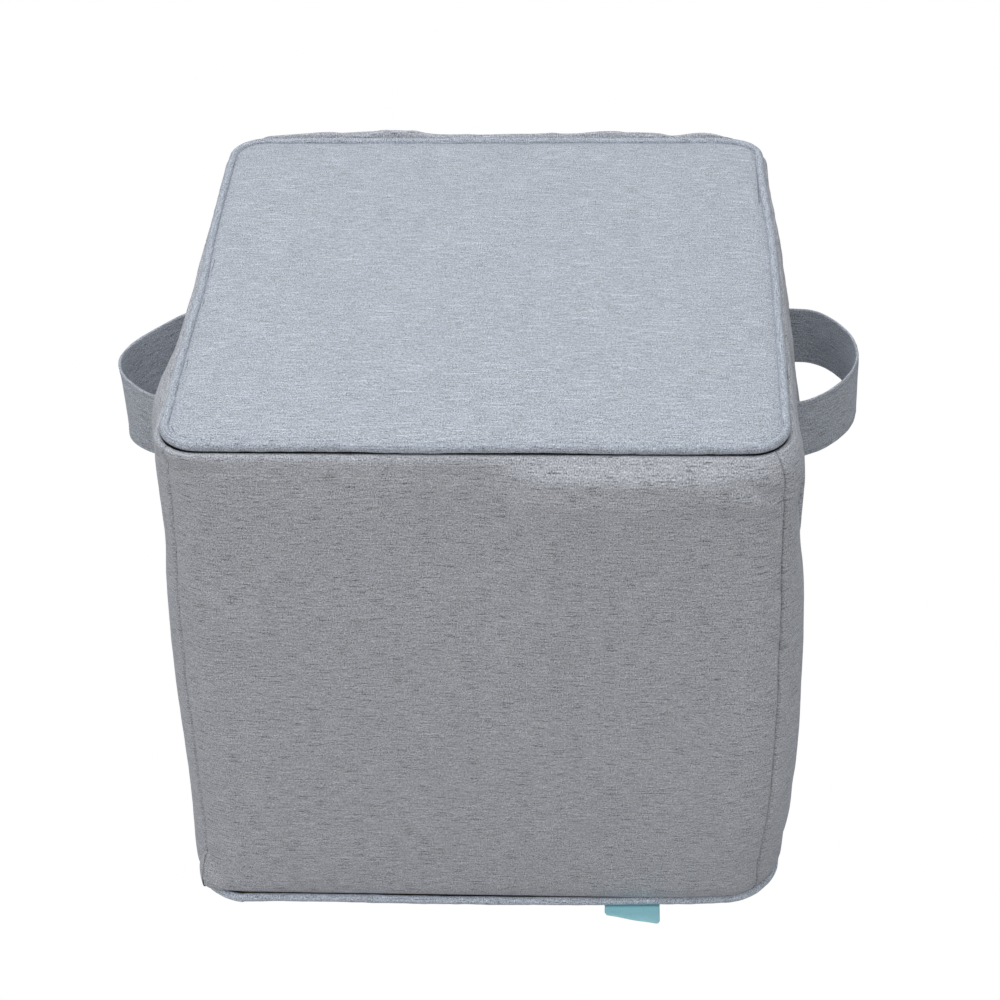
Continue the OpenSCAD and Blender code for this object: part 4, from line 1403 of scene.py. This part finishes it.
# the wall's cloth runs on into the rear piping: a narrow strip that bends with the lid
hinge = next(j for j in frame["joints"] if j["name"] == "lid_hinge")
hy = hinge["pos_m"][1]
line = smooth_path([(hy + 0.0008, RIM_Z - 0.0009), (hy + 0.0012, RIM_Z + 0.0008),
                    (hy + 0.0006, RIM_Z + 0.0030), (hy - 0.0008, RIM_Z + 0.0045),
                    (hy - 0.0026, RIM_Z + 0.0050)], SEAM_STEP)[0]
a = np.linspace(-CORE + 0.002, CORE - 0.002, 180)
A = np.repeat(a[:, None], len(line), 1)
ripple = rough(A, A * 0, 0.009, 1, 521) * 0.0003
Y = line[None, :, 0] + ripple * np.linspace(0.3, 1, len(line))[None, :]
Z = np.broadcast_to(line[None, :, 1], A.shape)
s_line = np.arange(len(line)) * SEAM_STEP
strip = grid("rear_seam_cloth", np.stack([-A, Y, Z], -1),
             np.stack([A + 7, np.broadcast_to(s_line, A.shape)], -1), CLOTH)
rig.blend(strip, "bin_body", "lid", start=(0, hy + 0.0012, RIM_Z + 0.0005),
         end=(0, hy - 0.0016, RIM_Z + 0.0048))
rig.slot(strip, "outer_cloth")

# ------------------------------------------------------------ CAD nodes that show as they are

finishes = {
    "zip_slider": METAL, "zip_puller": METAL, "zip_stops": METAL,
    "hinge_tape": TAPE_CAD, "lid_hinge_tape": TAPE_CAD,
    "front_board": BOARD, "back_board": BOARD, "left_board": BOARD, "right_board": BOARD,
    "lid_board": BOARD,
}
for name, material in finishes.items():
    obj = frame["nodes"][name]
    obj.data.materials.clear()
    obj.data.materials.append(material)
for name, width in (("zip_slider", 0.00035), ("zip_puller", 0.00022), ("zip_stops", 0.0003)):
    obj = frame["nodes"][name]
    bevel = obj.modifiers.new("soft edges", "BEVEL")
    bevel.width = width
    bevel.segments = 2
    bevel.limit_method = "ANGLE"

# ------------------------------------------------------------ light and camera

world = bpy.data.worlds.new("studio")
bpy.context.scene.world = world
world.use_nodes = True
wt = world.node_tree
wt.nodes.clear()
direction = node(wt, "ShaderNodeTexCoord").outputs["Generated"]
height = node(wt, "ShaderNodeSeparateXYZ", {0: direction}).outputs[2]
sky = ramp(wt, maths(wt, "MULTIPLY_ADD", height, 0.5, 0.5),
           [(0.0, 0.42), (0.5, 0.50), (0.62, 0.62), (1.0, 0.95)])
tint = mix(wt, ramp(wt, maths(wt, "MULTIPLY_ADD", height, 0.5, 0.5), [(0.45, 0.0), (0.75, 1.0)]),
           (1.0, 0.965, 0.94, 1), (0.93, 0.97, 1.0, 1))
light_bg = node(wt, "ShaderNodeBackground", {"Color": mix(wt, 1.0, sky, tint, "MULTIPLY"), "Strength": 0.62})
white_bg = node(wt, "ShaderNodeBackground", {"Color": (1, 1, 1, 1), "Strength": 1.0})
seen = node(wt, "ShaderNodeLightPath").outputs["Is Camera Ray"]
both = node(wt, "ShaderNodeMixShader", {0: seen})
wt.links.new(light_bg.outputs[0], both.inputs[1])
wt.links.new(white_bg.outputs[0], both.inputs[2])
out = wt.nodes.new("ShaderNodeOutputWorld")
wt.links.new(both.outputs[0], out.inputs[0])


def area(name, place, target, size, power, colour):
    data = bpy.data.lights.new(name, "AREA")
    data.shape = "RECTANGLE"
    data.size, data.size_y = size
    data.energy = power
    data.color = colour
    obj = bpy.data.objects.new(name, data)
    bpy.context.scene.collection.objects.link(obj)
    obj.location = place
    obj.rotation_mode = "QUATERNION"
    obj.rotation_quaternion = (Vector(target) - Vector(place)).to_track_quat("-Z", "Y")
    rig.stage(obj)
    return obj


area("overhead", (-0.25, -0.10, 2.3), (0, 0, 0.3), (1.9, 1.9), 25, (0.93, 0.965, 1.0))
area("front_fill", (-0.9, -2.4, 0.9), (0, 0, 0.2), (1.4, 1.2), 4.7, (1.0, 0.94, 0.915))

floor_mesh = bpy.data.meshes.new("floor")
FLOOR_HALF, FLOOR_Z = 3, -0.0005
floor_corners = [(x * FLOOR_HALF, y * FLOOR_HALF, FLOOR_Z) for x, y in ((-1, -1), (1, -1), (1, 1), (-1, 1))]
floor_mesh.from_pydata(floor_corners, [], [(0, 1, 2, 3)])
floor = bpy.data.objects.new("floor", floor_mesh)
bpy.context.scene.collection.objects.link(floor)
floor_mat, _, floor_shader = new_material("floor_white")
floor_shader.inputs["Base Color"].default_value = (0.66, 0.655, 0.65, 1)
floor_shader.inputs["Roughness"].default_value = 0.9
floor_mesh.materials.append(floor_mat)
floor.visible_camera = False
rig.stage(floor)

cam_data = bpy.data.cameras.new("camera")
cam = bpy.data.objects.new("camera", cam_data)
bpy.context.scene.collection.objects.link(cam)
bpy.context.scene.camera = cam
cam_data.sensor_width = 36
cam_data.lens = 88.6
# from the front and above, turned a little to the left and tilted
yaw, pitch, roll = math.radians(-3.65), math.radians(36.72), math.radians(1.82)
ahead = Vector((math.sin(yaw) * math.cos(pitch), math.cos(yaw) * math.cos(pitch), -math.sin(pitch)))
right = Vector((math.cos(yaw), -math.sin(yaw), 0))
down = ahead.cross(right)
cam_right = right * math.cos(roll) + down * math.sin(roll)
cam_down = -right * math.sin(roll) + down * math.cos(roll)
cam.rotation_mode = "QUATERNION"
cam.rotation_quaternion = Matrix((cam_right, -cam_down, -ahead)).transposed().to_quaternion()
cam.location = (0.1032, -1.537, 1.3669)
cam_data.clip_start, cam_data.clip_end = 0.05, 20

bpy.context.scene.view_settings.view_transform = "Standard"
bpy.context.scene.view_settings.look = "None"
bpy.context.scene.view_settings.exposure = 0.0

low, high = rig.bounds()
sizes = json.load(open(SIZE_FILE))
sizes["visual"] = [list(low), list(high)]
with open(SIZE_FILE, "w") as f:
    json.dump(sizes, f)
